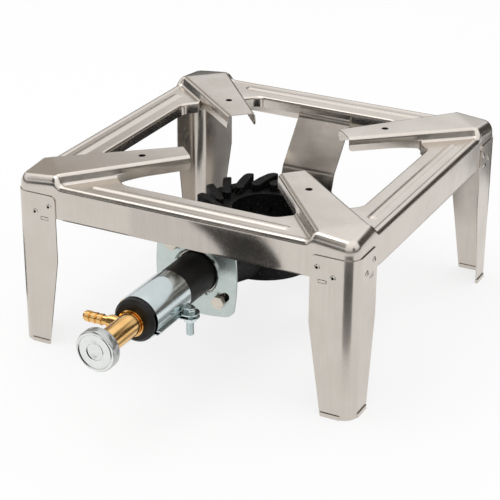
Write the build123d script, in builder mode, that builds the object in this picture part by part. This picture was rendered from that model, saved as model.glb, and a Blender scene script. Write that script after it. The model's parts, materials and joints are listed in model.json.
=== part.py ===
"""Single-burner gas stool cooker: pressed stainless frame, four legs, cast-iron burner and gas inlet train.

Millimetres. The origin is on the floor under the burner's axis, +X runs along the front side, +Z is up,
and the gas inlet train points to the front, -Y.
"""

import os
from math import cos, radians, sin, sqrt

from build123d import *

os.makedirs("parts", exist_ok=True)

# ---------------------------------------------------------------- driving dimensions
# Top frame: one pressed sheet
frame_size = 400.0  # over the skirt
frame_sheet = 1.2
rail_width = 42.5
rail_top = 191.0
skirt_height = 36.5
corner_radius = 14.0  # of the skirt, seen from above
skirt_fold = 4.5  # outer bend between rail and skirt
flange_fold = 3.5  # outer bend between rail and inner flange
flange_depth = 13.0  # from the rail's top down
opening_corner_cut = 67.5  # leg of the chamfer in the opening's corners, under the arms
opening_radius = 18.0
rib_length = 232.0
rib_width = 12.0
rib_height = 1.4
rib_edge_radius = 1.3

# Pot arms: raised channels from the corners inward
arm_rise = 11.0  # above the rails
arm_reach = 190.0  # from the frame's sharp corner to the arm's tip
arm_tip_width = 34.0
arm_root_width = 60.0
arm_crease = 36.0  # from the sharp corner to the crease across the arm
arm_corner_drop = 5.0  # from the crease down to the corner
arm_fold = 4.5
arm_flange_depth = 14.0
arm_tip_radius = 4.0  # of the flanges' lower corners at the tip
arm_hole_spacing = 202.0
arm_hole_radius = 4.0

# Legs
leg_sheet = 1.2
leg_fit = 0.1  # between leg and skirt
leg_top_gap = 11.0  # from the rail's top down to the leg's top edge
wing_top_width = 51.0
wing_foot_width = 36.0
wing_kink_height = 104.0
wing_corner_radius = 6.0
hem_height = 4.5
hem_thickness = 3.6
hem_corner_gap = 13.0
hem_edge_radius = 1.4
tab_width = 9.0
tab_height = 3.4
tab_offset = 37.0  # from the leg's outer corner
tab_clearance = 0.6
rivet_radius = 1.6
rivet_clearance = 0.05
rivet_head_radius = 3.2
rivet_head_height = 1.1
rivet_rim_height = 0.35
rivet_crown_radius = 1.9
rivet_tail_radius = 2.3
rivet_tail_length = 2.4
rivet_pit_radius = 1.0
rivet_pit_depth = 0.7
rivet_offsets = (43.0, 25.5)  # from the leg's outer corner
rivet_rises = (13.0, 4.5)  # above the skirt's lower edge

# Cast-iron burner
burner_bottom = 58.0
burner_height = 58.0  # bowl, from its bottom to the crown's seat
cone_height = 50.0
bowl_foot_radius = 59.0
bowl_radius = 78.0
bowl_wall = 4.5
bowl_floor = 5.0
bore_radius = 38.5
bore_wall = 4.0
port_count = 10
port_width = 2.6
port_height = 8.0
port_drop = 14.0  # of the ports' centres below the crown's seat
port_slant = 25.0
crown_radius = 81.0
deck_thickness = 5.0
lip_height = 1.5
lip_width = 3.0
fin_count = 16
fin_inner_radius = 51.0
fin_outer_radius = 77.0
fin_phase = -5.5  # degrees, of the first fin's outer end
fin_sweep = 26.0  # degrees, from a fin's outer to its inner end
fin_middle_sweep = 10.0  # the same, from its outer end to its middle
fin_thickness = 9.5
fin_edge_radius = 3.6
fin_inner_height = 8.0  # above the deck
fin_middle_height = 11.5
fin_outer_height = 12.5
fin_top_fall = 1.5  # of a fin's top at the crown's rim
flame_slot_width = 3.0
flame_slot_start = 56.0
flame_slot_end = 70.0
flame_slot_slant = -40.0
crown_screw_spacing = 91.0
crown_screw_radius = 2.5
crown_screw_head_radius = 4.5
crown_screw_head_height = 3.0
crown_screw_cover = 1.0  # deck left above the screws
crown_boss_radius = 5.5

# Gas inlet train, on one axis along Y
train_height = 110.0
train_reach = 129.0  # from the flange plate to the jet holder's face
plate_sheet = 2.5
plate_width = 88.0
plate_bulge = 4.5
plate_corner_radius = 13.0
dish_radius = 31.5
dish_depth = 2.0
dish_hole_radius = 25.0
flange_bolt_circle = 80.0
flange_bolt_radius = 4.0
flange_slot_length = 20.0
flange_slot_width = 10.0
flange_slot_shift = 4.7  # of a slot's middle from its bolt, along the slot
cast_flange_thickness = 8.0
cast_lug_radius = 11.0
neck_radius = 28.0
neck_end_distance = 80.0
neck_end_width = 46.0
neck_end_height = 44.0
neck_end_corner = 17.0
neck_end_passage_corner = 11.0
neck_passage_radius = 20.0
socket_depth = 16.0
tube_radius = 23.0
tube_wall = 2.3
socket_clearance = 0.1
air_port_count = 2
air_port_angle = -12.0
air_port_width = 27.0
air_port_length = 26.0
sleeve_clearance = 0.08
sleeve_sheet = 1.2
sleeve_setback = 3.3  # of the sleeve's front edge behind the jet holder's cap
sleeve_length = 67.0
split_upper_angle = 24.0  # below the horizontal
split_lower_angle = 36.0
upper_lip_reach = 5.5
lower_lip_reach = 4.0
lip_root = 0.5  # how deep the lips start in the sleeve's wall
ear_radius = 10.0
ear_screw_reach = 31.2
ear_screw_setback = 52.0  # from the sleeve's front edge
clamp_screw_radius = 4.0
clamp_screw_length = 26.0
clamp_head_radius = 6.4
clamp_head_height = 5.0
clamp_head_edge = 1.7
clamp_slot_width = 1.6
clamp_slot_depth = 2.0
clamp_nut_width = 13.0
clamp_nut_height = 4.0
screw_clearance = 0.1

# Jet holder, valve, hose barb and hand wheel
holder_radius = 23.2
holder_cap = 5.0
holder_chamfer = 3.0
holder_spigot = 3.0
valve_spigot_radius = 7.0
valve_spigot_length = 20.0
valve_length = 50.0
valve_radius = 12.5
valve_collar_radius = 14.5
valve_collar_length = 4.5
valve_groove = 1.2
valve_boss_radius = 7.5
valve_boss_reach = 19.0
thread_clearance = 0.05
jet_thread_radius = 3.5
jet_thread_length = 7.0
jet_hex_width = 10.0
jet_hex_length = 6.0
jet_nose_length = 5.0
jet_nose_radius = 2.5
jet_orifice_radius = 0.7
gas_passage_radius = 2.0
seat_setback = 4.0  # of the valve seat, forward of the jet holder's face
seat_cone_length = 3.5
chamber_radius = 5.0
barb_setback = 10.0  # of the hose barb's axis, forward of the jet holder's face
barb_thread_radius = 5.0
barb_thread_length = 8.0
barb_radius = 4.9
barb_ridge_radius = 6.0
barb_ridge_length = 6.0
barb_ridge_gap = 1.6
barb_ridge_count = 3
barb_collar_radius = 6.8
barb_collar_length = 3.0
barb_length = 35.0
barb_bore_radius = 2.6
needle_radius = 3.5
needle_length = 14.0
needle_tip_length = 7.0
needle_tip_radius = 0.8
needle_pin_radius = 2.0
needle_pin_length = 6.0
needle_clearance = 0.05
spindle_radius = 4.0
spindle_thread_length = 12.0
spindle_nose_gap = 0.2
seal_width = 2.5
seal_pocket_depth = 3.0
gland_thread_radius = 8.0
gland_thread_length = 8.0
gland_hex_width = 19.0
gland_hex_length = 5.0
running_clearance = 0.05
wheel_gap = 2.0  # between the gland nut and the closed hand wheel
wheel_hub_radius = 9.0
wheel_hub_length = 2.5
wheel_radius = 22.0
wheel_thickness = 12.0
wheel_rim_width = 3.5
wheel_recess = 1.2
wheel_boss_radius = 7.0
wheel_boss_height = 0.9
wheel_chamfer = 1.0
wheel_front_wall = 3.0
grub_radius = 2.0
grub_length = 8.0

# Burner supports
strap_sheet = 2.0
strap_width = 67.0
strap_bend = 12.0
strap_tab_top_gap = 4.0  # from the rail's top down
strap_tab_length = 9.0
strap_knee_distance = 113.0  # distances are taken to the rear from the burner's axis
strap_knee_height = 127.0
strap_heel_distance = 90.0
strap_toe_distance = 42.0
strap_bolt_distance = 46.5
strap_bolt_spacing = 40.0
strap_bolt_radius = 3.0
strap_bolt_length = 11.0
strap_bolt_head_width = 10.0
strap_bolt_head_height = 4.0
hanger_foot_height = 66.0
hanger_hole_clearance = 1.0
nut_height_share = 0.8  # of a nut's height to its bolt's diameter
m8_hex_width = 13.0
m8_head_height = 5.3
bolt_clearance = 0.25
seat_gap = 0.05  # between pieces that are bolted or welded face to face
cut_over = 1.0  # how far cutting bodies run past what they cut
near = 0.2  # how close an edge lies to where it is looked for

# ---------------------------------------------------------------- derived places
frame_half = frame_size / 2
opening_half = frame_half - rail_width
skirt_bottom = rail_top - skirt_height
flange_bottom = rail_top - flange_depth
arm_top = rail_top + arm_rise
arm_flange_bottom = arm_top - arm_flange_depth
corner_distance = frame_half * sqrt(2)
arm_tip_distance = corner_distance - arm_reach
leg_half = frame_half + leg_fit + leg_sheet
leg_top = rail_top - leg_top_gap
crown_seat = burner_bottom + burner_height
deck_top = crown_seat + deck_thickness
# distances along the gas train are taken forward from the burner's axis
hanger_back = opening_half + frame_sheet + seat_gap
cast_flange_face = hanger_back - seat_gap
cast_flange_back = cast_flange_face - cast_flange_thickness
plate_back = hanger_back + strap_sheet + seat_gap
plate_face = plate_back + plate_sheet
holder_front = plate_face + train_reach
holder_back = holder_front - holder_cap
sleeve_front = holder_back - sleeve_setback
tube_back = cast_flange_face - socket_depth + seat_gap
valve_front = holder_front + valve_length
seat_distance = holder_front + seat_setback
seal_front = valve_front - gland_thread_length
wheel_back = valve_front + gland_hex_length + wheel_gap
wheel_disc_back = wheel_back + wheel_hub_length
wheel_front = wheel_disc_back + wheel_thickness

train_plane = Plane(origin=(0, 0, train_height), x_dir=(0, -1, 0), z_dir=(-1, 0, 0))
train_axis = Axis((0, 0, train_height), (0, -1, 0))


def train_section(distance):
    """The plane across the gas train at a distance forward from the burner's axis, facing forward."""
    return Plane(origin=(0, -distance, train_height), x_dir=(1, 0, 0), z_dir=(0, -1, 0))


# ---------------------------------------------------------------- top frame
def arm_half_width(distance_from_corner):
    """Half the width of a pot arm, which narrows evenly from its crease to its tip."""
    taper = (arm_root_width - arm_tip_width) / 2 / (arm_reach - arm_crease)
    return arm_tip_width / 2 + taper * (arm_reach - distance_from_corner)


def arm_die(inset, bottom, tip_overrun):
    """The four pot arms as solid blocks, their faces moved inward by inset."""
    top = arm_top - inset
    tip = arm_tip_distance - tip_overrun
    outside = corner_distance + cut_over
    tip_half = arm_half_width(arm_reach + tip_overrun) - inset
    outside_half = arm_half_width(-cut_over) - inset
    with BuildPart() as arms:
        with BuildSketch(Plane.XY.offset(bottom)):
            with PolarLocations(0, 4, start_angle=45):
                Polygon(
                    (tip, -tip_half), (outside, -outside_half), (outside, outside_half), (tip, tip_half),
                    align=None,
                )
            side = 2 * (frame_half - inset)
            RectangleRounded(side, side, corner_radius - inset, mode=Mode.INTERSECT)
        extrude(amount=top - bottom)
        crease = corner_distance - arm_crease
        for angle in (45, 135, 225, 315):
            outward = (cos(radians(angle)), sin(radians(angle)), 0)
            across = (sin(radians(angle)), -cos(radians(angle)), 0)
            with BuildSketch(Plane(origin=(0, 0, 0), x_dir=outward, z_dir=across)):
                Polygon(
                    (crease, top), (corner_distance, top - arm_corner_drop),
                    (corner_distance, top + arm_rise), (crease, top + arm_rise), align=None,
                )
            extrude(amount=arm_root_width, both=True, mode=Mode.SUBTRACT)
        upper = arms.edges().filter_by(lambda edge: edge.bounding_box().min.Z > rail_top)

        def is_folded(edge):
            reach = sqrt(edge.center().X ** 2 + edge.center().Y ** 2)
            return abs(reach - tip) > near and abs(reach - crease) > near

        fillet(upper.filter_by(is_folded), arm_fold - inset)
    return arms.part


def rail_die(inset, bottom):
    """The four rails as one solid block round the octagonal opening, their faces moved inward by inset."""
    top = rail_top - inset
    side = 2 * (frame_half - inset)
    opening = 2 * (opening_half + inset)
    with BuildPart() as rails:
        with BuildSketch(Plane.XY.offset(bottom)):
            RectangleRounded(side, side, corner_radius - inset)
        extrude(amount=top - bottom)
        with BuildSketch(Plane.XY.offset(bottom)) as hole:
            Rectangle(opening, opening)
            chamfer(hole.vertices(), length=opening_corner_cut + (2 - sqrt(2)) * inset)
            fillet(hole.vertices(), radius=opening_radius + inset)
        extrude(amount=top - bottom, mode=Mode.SUBTRACT)
        top_face = rails.faces().sort_by(Axis.Z)[-1]
        fillet(top_face.outer_wire().edges(), skirt_fold - inset)
        top_face = rails.faces().sort_by(Axis.Z)[-1]
        fillet(top_face.inner_wires()[0].edges(), flange_fold - inset)
        with BuildSketch(Plane.XY.offset(top)):
            with PolarLocations(frame_half - rail_width / 2, 4):
                SlotOverall(rib_length, rib_width - 2 * inset, rotation=90)
        extrude(amount=rib_height)
        rib_edges = rails.edges().filter_by(lambda edge: edge.bounding_box().min.Z > top + rib_height / 2)
        fillet(rib_edges, rib_edge_radius)
    return rails.part


def wing_sections(distance):
    """The planes of the front wing and the side wing of the front left leg, facing outward."""
    return (
        Plane(origin=(0, -distance, 0), x_dir=(1, 0, 0), z_dir=(0, -1, 0)),
        Plane(origin=(-distance, 0, 0), x_dir=(0, -1, 0), z_dir=(-1, 0, 0)),
    )


def wing_places(height_by_offset, distance):
    """Places on both wings of all four legs, from (offset from the corner, height) pairs."""
    places = []
    for turn in (0, 90, 180, 270):
        for plane, side in zip(wing_sections(distance), (-1, 1)):
            for offset, height in height_by_offset:
                place = Location((side * (leg_half - offset), height, 0))
                places.append(Location((0, 0, 0), (0, 0, turn)) * plane.location * place)
    return places


rivet_spots = [(offset, skirt_bottom + rise) for offset, rise in zip(rivet_offsets, rivet_rises)]
tab_spots = [(tab_offset, skirt_bottom - tab_height)]
outer_rails = rail_die(0, skirt_bottom)
outer_arms = arm_die(0, arm_flange_bottom, 0)
inner_rails = rail_die(frame_sheet, skirt_bottom - cut_over)
inner_arms = arm_die(frame_sheet, skirt_bottom - cut_over, cut_over)

with BuildPart() as top_frame:
    add(outer_rails)
    add(outer_arms)
    add(inner_rails, mode=Mode.SUBTRACT)
    add(inner_arms, mode=Mode.SUBTRACT)
    # the inner flange ends above the skirt
    inside = 2 * (frame_half - frame_sheet - cut_over)
    with BuildSketch(Plane.XY.offset(skirt_bottom - cut_over)):
        Rectangle(inside, inside)
    extrude(amount=flange_bottom - skirt_bottom + cut_over, mode=Mode.SUBTRACT)
    with BuildSketch(Plane.XY.offset(arm_top - arm_rise)):
        with GridLocations(arm_hole_spacing, arm_hole_spacing, 2, 2):
            Circle(arm_hole_radius)
    extrude(amount=arm_rise + cut_over, mode=Mode.SUBTRACT)
    with Locations(*wing_places(rivet_spots, frame_half - frame_sheet / 2)):
        Cylinder(rivet_radius + rivet_clearance, 3 * frame_sheet, mode=Mode.SUBTRACT)
    # a tongue below the skirt hooks outward into each wing's slot
    with Locations(*wing_places(tab_spots, frame_half - frame_sheet)):
        Box(tab_width, tab_height + cut_over, frame_sheet, align=(Align.CENTER, Align.MIN, Align.MIN))
        hook = frame_sheet + leg_fit + leg_sheet
        Box(tab_width, tab_height, hook, align=(Align.CENTER, Align.MIN, Align.MIN))

    def is_tip_corner(edge):
        along = (abs(edge.center().X) + abs(edge.center().Y)) / sqrt(2)
        return abs(edge.center().Z - arm_flange_bottom) < near and abs(along - arm_tip_distance) < near

    fillet(top_frame.edges().filter_by(is_tip_corner), arm_tip_radius)
top_frame.part.label = "top_frame"
export_step(top_frame.part, "parts/top_frame.step")

# ---------------------------------------------------------------- legs
with BuildPart() as leg_blank:
    inner_side = 2 * (leg_half - leg_sheet)
    with BuildSketch():
        RectangleRounded(2 * leg_half, 2 * leg_half, corner_radius + leg_fit + leg_sheet)
        RectangleRounded(inner_side, inner_side, corner_radius + leg_fit, mode=Mode.SUBTRACT)
        with Locations((-leg_half, -leg_half)):
            Rectangle(wing_top_width, wing_top_width, align=(Align.MIN, Align.MIN), mode=Mode.INTERSECT)
    extrude(amount=leg_top)
    for plane, side in zip(wing_sections(0), (-1, 1)):
        with BuildSketch(plane) as outline:
            Polygon(
                (side * (leg_half + cut_over), 0),
                (side * (leg_half - wing_foot_width), 0),
                (side * (leg_half - wing_top_width), wing_kink_height),
                (side * (leg_half - wing_top_width), leg_top),
                (side * (leg_half + cut_over), leg_top),
                align=None,
            )
            free_corner = outline.vertices().group_by(Axis.Y)[-1].sort_by(lambda vertex: abs(vertex.X))[0]
            fillet(free_corner, wing_corner_radius)
        extrude(amount=2 * leg_half, both=True, mode=Mode.INTERSECT)
    for plane, side in zip(wing_sections(leg_half), (-1, 1)):
        with BuildSketch(plane):
            with Locations(*[(side * (leg_half - offset), height) for offset, height in rivet_spots]):
                Circle(rivet_radius + rivet_clearance)
            for offset, height in tab_spots:
                with Locations((side * (leg_half - offset), height + tab_height / 2)):
                    Rectangle(tab_width + tab_clearance, tab_height + tab_clearance)
        extrude(amount=-2 * leg_sheet, mode=Mode.SUBTRACT)
    # rolled hem along the foot of each wing, open at the corner
    hem_length = wing_foot_width - hem_corner_gap
    middle = leg_half - leg_sheet / 2
    hem_centre = leg_half - hem_corner_gap - hem_length / 2
    with BuildSketch() as hems:
        with Locations((-hem_centre, -middle)):
            Rectangle(hem_length, hem_thickness)
        with Locations((-middle, -hem_centre)):
            Rectangle(hem_thickness, hem_length)
        fillet(hems.vertices(), hem_edge_radius)
    extrude(amount=hem_height)

legs = {"front_left_leg": 0, "front_right_leg": 90, "rear_right_leg": 180, "rear_left_leg": 270}
for leg_name, turn in legs.items():
    with BuildPart() as leg:
        add(leg_blank.part, rotation=(0, 0, turn))
    leg.part.label = leg_name
    export_step(leg.part, f"parts/{leg_name}.step")

with BuildPart() as rivet:
    grip = leg_sheet + leg_fit + frame_sheet
    with BuildSketch(Plane.XZ):
        Polygon(
            (rivet_pit_radius, rivet_head_height), (rivet_crown_radius, rivet_head_height),
            (rivet_head_radius, rivet_rim_height), (rivet_head_radius, seat_gap),
            (rivet_radius, seat_gap), (rivet_radius, -grip - seat_gap), (rivet_tail_radius, -grip - seat_gap),
            (rivet_tail_radius, -grip - rivet_tail_length), (0, -grip - rivet_tail_length),
            (0, rivet_head_height - rivet_pit_depth), (rivet_pit_radius, rivet_head_height - rivet_pit_depth),
            align=None,
        )
    revolve(axis=Axis.Z)

with BuildPart() as leg_rivets:
    with Locations(*wing_places(rivet_spots, leg_half)):
        add(rivet.part)
leg_rivets.part.label = "leg_rivets"
export_step(leg_rivets.part, "parts/leg_rivets.step")

# ---------------------------------------------------------------- burner supports
strap_tab_top = rail_top - strap_tab_top_gap
strap_tab_distance = opening_half - seat_gap - strap_sheet / 2
strap_toe_height = burner_bottom - seat_gap - strap_sheet / 2

with BuildPart() as rear_burner_strap:
    with BuildSketch(Plane.YZ):
        with BuildLine():
            FilletPolyline(
                (strap_tab_distance, strap_tab_top),
                (strap_tab_distance, strap_tab_top - strap_tab_length),
                (strap_knee_distance, strap_knee_height),
                (strap_heel_distance, strap_toe_height),
                (strap_toe_distance, strap_toe_height),
                radius=strap_bend,
            )
        trace(line_width=strap_sheet)
    extrude(amount=strap_width / 2, both=True)
    with Locations((0, strap_bolt_distance, strap_toe_height)):
        with GridLocations(strap_bolt_spacing, 1, 2, 1):
            Cylinder(strap_bolt_radius + bolt_clearance, 2 * strap_sheet, mode=Mode.SUBTRACT)
rear_burner_strap.part.label = "rear_burner_strap"
export_step(rear_burner_strap.part, "parts/rear_burner_strap.step")

bolt_reach = flange_bolt_circle / 2 / sqrt(2)
flange_bolt_spots = [(-bolt_reach, bolt_reach), (bolt_reach, -bolt_reach)]
slot_step = flange_slot_shift / sqrt(2)
flange_slot_spots = [(x + slot_step, y + slot_step) for x, y in flange_bolt_spots]

with BuildPart() as front_burner_hanger:
    hanger_top = strap_tab_top - train_height
    with BuildSketch(train_section(hanger_back)):
        with Locations((0, (hanger_top + hanger_foot_height - train_height) / 2)):
            Rectangle(strap_width, hanger_top + train_height - hanger_foot_height)
        Circle(tube_radius + hanger_hole_clearance, mode=Mode.SUBTRACT)
        with Locations(*flange_bolt_spots):
            Circle(flange_bolt_radius + bolt_clearance, mode=Mode.SUBTRACT)
    extrude(amount=strap_sheet)
front_burner_hanger.part.label = "front_burner_hanger"
export_step(front_burner_hanger.part, "parts/front_burner_hanger.step")

# ---------------------------------------------------------------- burner
neck_drop = train_height - crown_seat + neck_end_height / 2 + bowl_wall

with BuildPart() as burner_body:
    with BuildSketch(Plane.XZ):
        Polygon(
            (bore_radius, burner_bottom), (bowl_foot_radius, burner_bottom),
            (bowl_radius, burner_bottom + cone_height), (bowl_radius, crown_seat), (bore_radius, crown_seat),
            align=None,
        )
    revolve(axis=Axis.Z)
    # neck from the inlet flange to the bowl
    with BuildSketch(train_section(cast_flange_back)):
        Circle(neck_radius)
    with BuildSketch(train_section(neck_end_distance)):
        with Locations((0, -neck_drop)):
            RectangleRounded(neck_end_width + 2 * bowl_wall, neck_end_height, neck_end_corner)
    loft()
    with BuildSketch(train_section(neck_end_distance)):
        with Locations((0, -neck_drop)):
            RectangleRounded(neck_end_width + 2 * bowl_wall, neck_end_height, neck_end_corner)
    extrude(amount=bore_radius + bore_wall - neck_end_distance)
    # annular gas chamber, open to the crown
    with BuildSketch(Plane.XZ):
        Polygon(
            (bore_radius + bore_wall, burner_bottom + bowl_floor),
            (bowl_foot_radius - bowl_wall, burner_bottom + bowl_floor),
            (bowl_radius - bowl_wall, burner_bottom + cone_height),
            (bowl_radius - bowl_wall, crown_seat + cut_over),
            (bore_radius + bore_wall, crown_seat + cut_over),
            align=None,
        )
    revolve(axis=Axis.Z, mode=Mode.SUBTRACT)
    with BuildSketch(train_section(cast_flange_back)):
        Circle(neck_passage_radius)
    with BuildSketch(train_section(bowl_radius - 2 * bowl_wall)):
        with Locations((0, -neck_drop)):
            RectangleRounded(neck_end_width, neck_end_height - 2 * bowl_wall, neck_end_passage_corner)
    loft(mode=Mode.SUBTRACT)
    with BuildSketch(train_section(cast_flange_back)):
        with Locations(*flange_bolt_spots):
            Circle(cast_lug_radius)
        Circle(neck_radius + bowl_wall)
        make_hull()
    extrude(amount=cast_flange_thickness)
    with BuildSketch(train_section(cast_flange_face)):
        with Locations(*flange_bolt_spots):
            Circle(flange_bolt_radius + bolt_clearance)
    extrude(amount=-cast_flange_thickness, mode=Mode.SUBTRACT)
    with BuildSketch(train_section(cast_flange_face)):
        Circle(tube_radius + socket_clearance)
    extrude(amount=-socket_depth, mode=Mode.SUBTRACT)
    with BuildSketch(train_section(cast_flange_face)):
        Circle(neck_passage_radius)
    extrude(amount=-socket_depth - cut_over, mode=Mode.SUBTRACT)
    # slanted ports in the bore's wall
    with Locations((0, 0, crown_seat - port_drop)):
        with PolarLocations(bore_radius + bore_wall / 2, port_count):
            Box(2 * bore_wall, port_width, port_height, rotation=(port_slant, 0, 0), mode=Mode.SUBTRACT)
    # bosses for the crown's screws
    with BuildSketch(Plane.XY.offset(burner_bottom)):
        with GridLocations(crown_screw_spacing, 1, 2, 1):
            Circle(crown_boss_radius)
        Circle(bore_radius, mode=Mode.SUBTRACT)
    extrude(amount=burner_height)
    with BuildSketch(Plane.XY.offset(burner_bottom)):
        with GridLocations(crown_screw_spacing, 1, 2, 1):
            Circle(crown_screw_radius + bolt_clearance)
    extrude(amount=burner_height, mode=Mode.SUBTRACT)
    with BuildSketch(Plane.XY.offset(burner_bottom)):
        with Locations((0, strap_bolt_distance)):
            with GridLocations(strap_bolt_spacing, 1, 2, 1):
                Circle(strap_bolt_radius + thread_clearance)
    extrude(amount=bowl_floor, mode=Mode.SUBTRACT)
burner_body.part.label = "burner_body"
export_step(burner_body.part, "parts/burner_body.step")


def polar(radius, angle):
    """A point at a radius and an angle in degrees."""
    return (radius * cos(radians(angle)), radius * sin(radians(angle)))


middle_radius = (fin_inner_radius + fin_outer_radius) / 2
with BuildSketch() as fin_plan:
    with BuildLine():
        ThreePointArc(
            polar(fin_inner_radius, fin_sweep), polar(middle_radius, fin_middle_sweep),
            polar(fin_outer_radius, 0),
        )
    trace(line_width=fin_thickness)
    fillet(fin_plan.vertices(), fin_edge_radius)

with BuildPart() as fins:
    with BuildSketch(Plane.XY.offset(deck_top - cut_over)):
        with PolarLocations(0, fin_count, start_angle=fin_phase):
            add(fin_plan.sketch)
    extrude(amount=fin_outer_height + 2 * cut_over)
    with BuildSketch(Plane.XZ):
        Polygon(
            (bore_radius, deck_top - cut_over), (crown_radius + cut_over, deck_top - cut_over),
            (crown_radius + cut_over, deck_top + fin_outer_height - fin_top_fall),
            (fin_outer_radius - fin_edge_radius, deck_top + fin_outer_height),
            (middle_radius, deck_top + fin_middle_height),
            (fin_inner_radius, deck_top + fin_inner_height), (bore_radius, deck_top + fin_inner_height),
            align=None,
        )
    revolve(axis=Axis.Z, mode=Mode.INTERSECT)

with BuildPart() as burner_crown:
    with BuildSketch(Plane.XY.offset(crown_seat + seat_gap)):
        Circle(crown_radius)
        Circle(bore_radius, mode=Mode.SUBTRACT)
    extrude(amount=deck_thickness - seat_gap)
    with BuildSketch(Plane.XY.offset(deck_top)):
        Circle(bore_radius + lip_width)
        Circle(bore_radius, mode=Mode.SUBTRACT)
    extrude(amount=lip_height)
    # flame slots between the fins
    with BuildSketch(Plane.XY.offset(crown_seat)):
        with PolarLocations(0, fin_count, start_angle=fin_phase + fin_sweep / 2 + 180 / fin_count):
            with Locations(((flame_slot_start + flame_slot_end) / 2, 0)):
                SlotOverall(flame_slot_end - flame_slot_start, flame_slot_width, rotation=flame_slot_slant)
    extrude(amount=deck_thickness + cut_over, mode=Mode.SUBTRACT)
    add(fins.part)
    with BuildSketch(Plane.XY.offset(deck_top - crown_screw_cover)):
        with GridLocations(crown_screw_spacing, 1, 2, 1):
            Circle(crown_screw_radius + thread_clearance)
    extrude(amount=-deck_thickness, mode=Mode.SUBTRACT)
burner_crown.part.label = "burner_crown"
export_step(burner_crown.part, "parts/burner_crown.step")

with BuildPart() as crown_screws:
    with BuildSketch(Plane.XY.offset(burner_bottom - seat_gap)):
        with GridLocations(crown_screw_spacing, 1, 2, 1):
            Circle(crown_screw_head_radius)
    extrude(amount=-crown_screw_head_height)
    with BuildSketch(Plane.XY.offset(burner_bottom - seat_gap)):
        with GridLocations(crown_screw_spacing, 1, 2, 1):
            Circle(crown_screw_radius)
    extrude(amount=burner_height + deck_thickness - crown_screw_cover)
crown_screws.part.label = "crown_screws"
export_step(crown_screws.part, "parts/crown_screws.step")

with BuildPart() as strap_bolts:
    bolt_seat = strap_toe_height - strap_sheet / 2 - seat_gap
    with BuildSketch(Plane.XY.offset(bolt_seat)):
        with Locations((0, strap_bolt_distance)):
            with GridLocations(strap_bolt_spacing, 1, 2, 1):
                RegularPolygon(strap_bolt_head_width / 2, 6, major_radius=False)
    extrude(amount=-strap_bolt_head_height)
    with BuildSketch(Plane.XY.offset(bolt_seat)):
        with Locations((0, strap_bolt_distance)):
            with GridLocations(strap_bolt_spacing, 1, 2, 1):
                Circle(strap_bolt_radius)
    extrude(amount=strap_bolt_length)
strap_bolts.part.label = "strap_bolts"
export_step(strap_bolts.part, "parts/strap_bolts.step")

# ---------------------------------------------------------------- flange plate and its bolts
with BuildPart() as flange_plate:
    corner = plate_width / 2
    with BuildSketch(train_section(plate_back)) as plate_outline:
        with BuildLine():
            corners = [(-corner, -corner), (corner, -corner), (corner, corner), (-corner, corner)]
            bulges = [(0, -corner - plate_bulge), (corner + plate_bulge, 0), (0, corner + plate_bulge),
                      (-corner - plate_bulge, 0)]
            for start, bulge, end in zip(corners, bulges, corners[1:] + corners[:1]):
                ThreePointArc(start, bulge, end)
        make_face()
        fillet(plate_outline.vertices(), plate_corner_radius)
        Circle(dish_radius, mode=Mode.SUBTRACT)
        with Locations(*flange_slot_spots):
            SlotOverall(flange_slot_length, flange_slot_width, rotation=45, mode=Mode.SUBTRACT)
    extrude(amount=plate_sheet)
    with BuildSketch(train_plane):
        Polygon(
            (plate_back, dish_radius + cut_over / 2), (plate_face, dish_radius + cut_over / 2),
            (plate_face + dish_depth, dish_hole_radius), (plate_back + dish_depth, dish_hole_radius),
            align=None,
        )
    revolve(axis=train_axis)
    with BuildSketch(train_section(plate_back)):
        with Locations(*flange_slot_spots):
            SlotOverall(flange_slot_length, flange_slot_width, rotation=45)
    extrude(amount=plate_sheet + dish_depth, mode=Mode.SUBTRACT)
flange_plate.part.label = "flange_plate"
export_step(flange_plate.part, "parts/flange_plate.step")

nut_height = 2 * flange_bolt_radius * nut_height_share
with BuildPart() as flange_bolts:
    with BuildSketch(train_section(plate_face + seat_gap)):
        with Locations(*flange_bolt_spots):
            RegularPolygon(m8_hex_width / 2, 6, major_radius=False)
    extrude(amount=m8_head_height)
    with BuildSketch(train_section(plate_face + seat_gap)):
        with Locations(*flange_bolt_spots):
            Circle(flange_bolt_radius)
    extrude(amount=cast_flange_back - nut_height - cut_over - plate_face)
flange_bolts.part.label = "flange_bolts"
export_step(flange_bolts.part, "parts/flange_bolts.step")

with BuildPart() as flange_nuts:
    with BuildSketch(train_section(cast_flange_back - seat_gap)):
        with Locations(*flange_bolt_spots):
            RegularPolygon(m8_hex_width / 2, 6, major_radius=False)
            Circle(flange_bolt_radius + thread_clearance, mode=Mode.SUBTRACT)
    extrude(amount=-nut_height)
flange_nuts.part.label = "flange_nuts"
export_step(flange_nuts.part, "parts/flange_nuts.step")

# ---------------------------------------------------------------- mixing tube and air shutter
with BuildPart() as mixing_tube:
    with BuildSketch(train_section(tube_back)):
        Circle(tube_radius)
        Circle(tube_radius - tube_wall, mode=Mode.SUBTRACT)
    extrude(amount=holder_back - tube_back)
    with Locations((0, -holder_back, train_height)):
        for port in range(air_port_count):
            turn = -air_port_angle + port * 360 / air_port_count
            Box(
                2 * tube_radius, air_port_length, air_port_width, rotation=(0, turn, 0),
                align=(Align.MIN, Align.MIN, Align.CENTER), mode=Mode.SUBTRACT,
            )
mixing_tube.part.label = "mixing_tube"
export_step(mixing_tube.part, "parts/mixing_tube.step")

sleeve_inner = tube_radius + sleeve_clearance
sleeve_outer = sleeve_inner + sleeve_sheet
sleeve_back = sleeve_front - sleeve_length
upper_lip = -sleeve_outer * sin(radians(split_upper_angle))
lower_lip = -sleeve_outer * sin(radians(split_lower_angle))
upper_root = sleeve_outer * cos(radians(split_upper_angle)) - lip_root
lower_root = sleeve_outer * cos(radians(split_lower_angle)) - lip_root
ear_screw_distance = sleeve_front - ear_screw_setback

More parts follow.
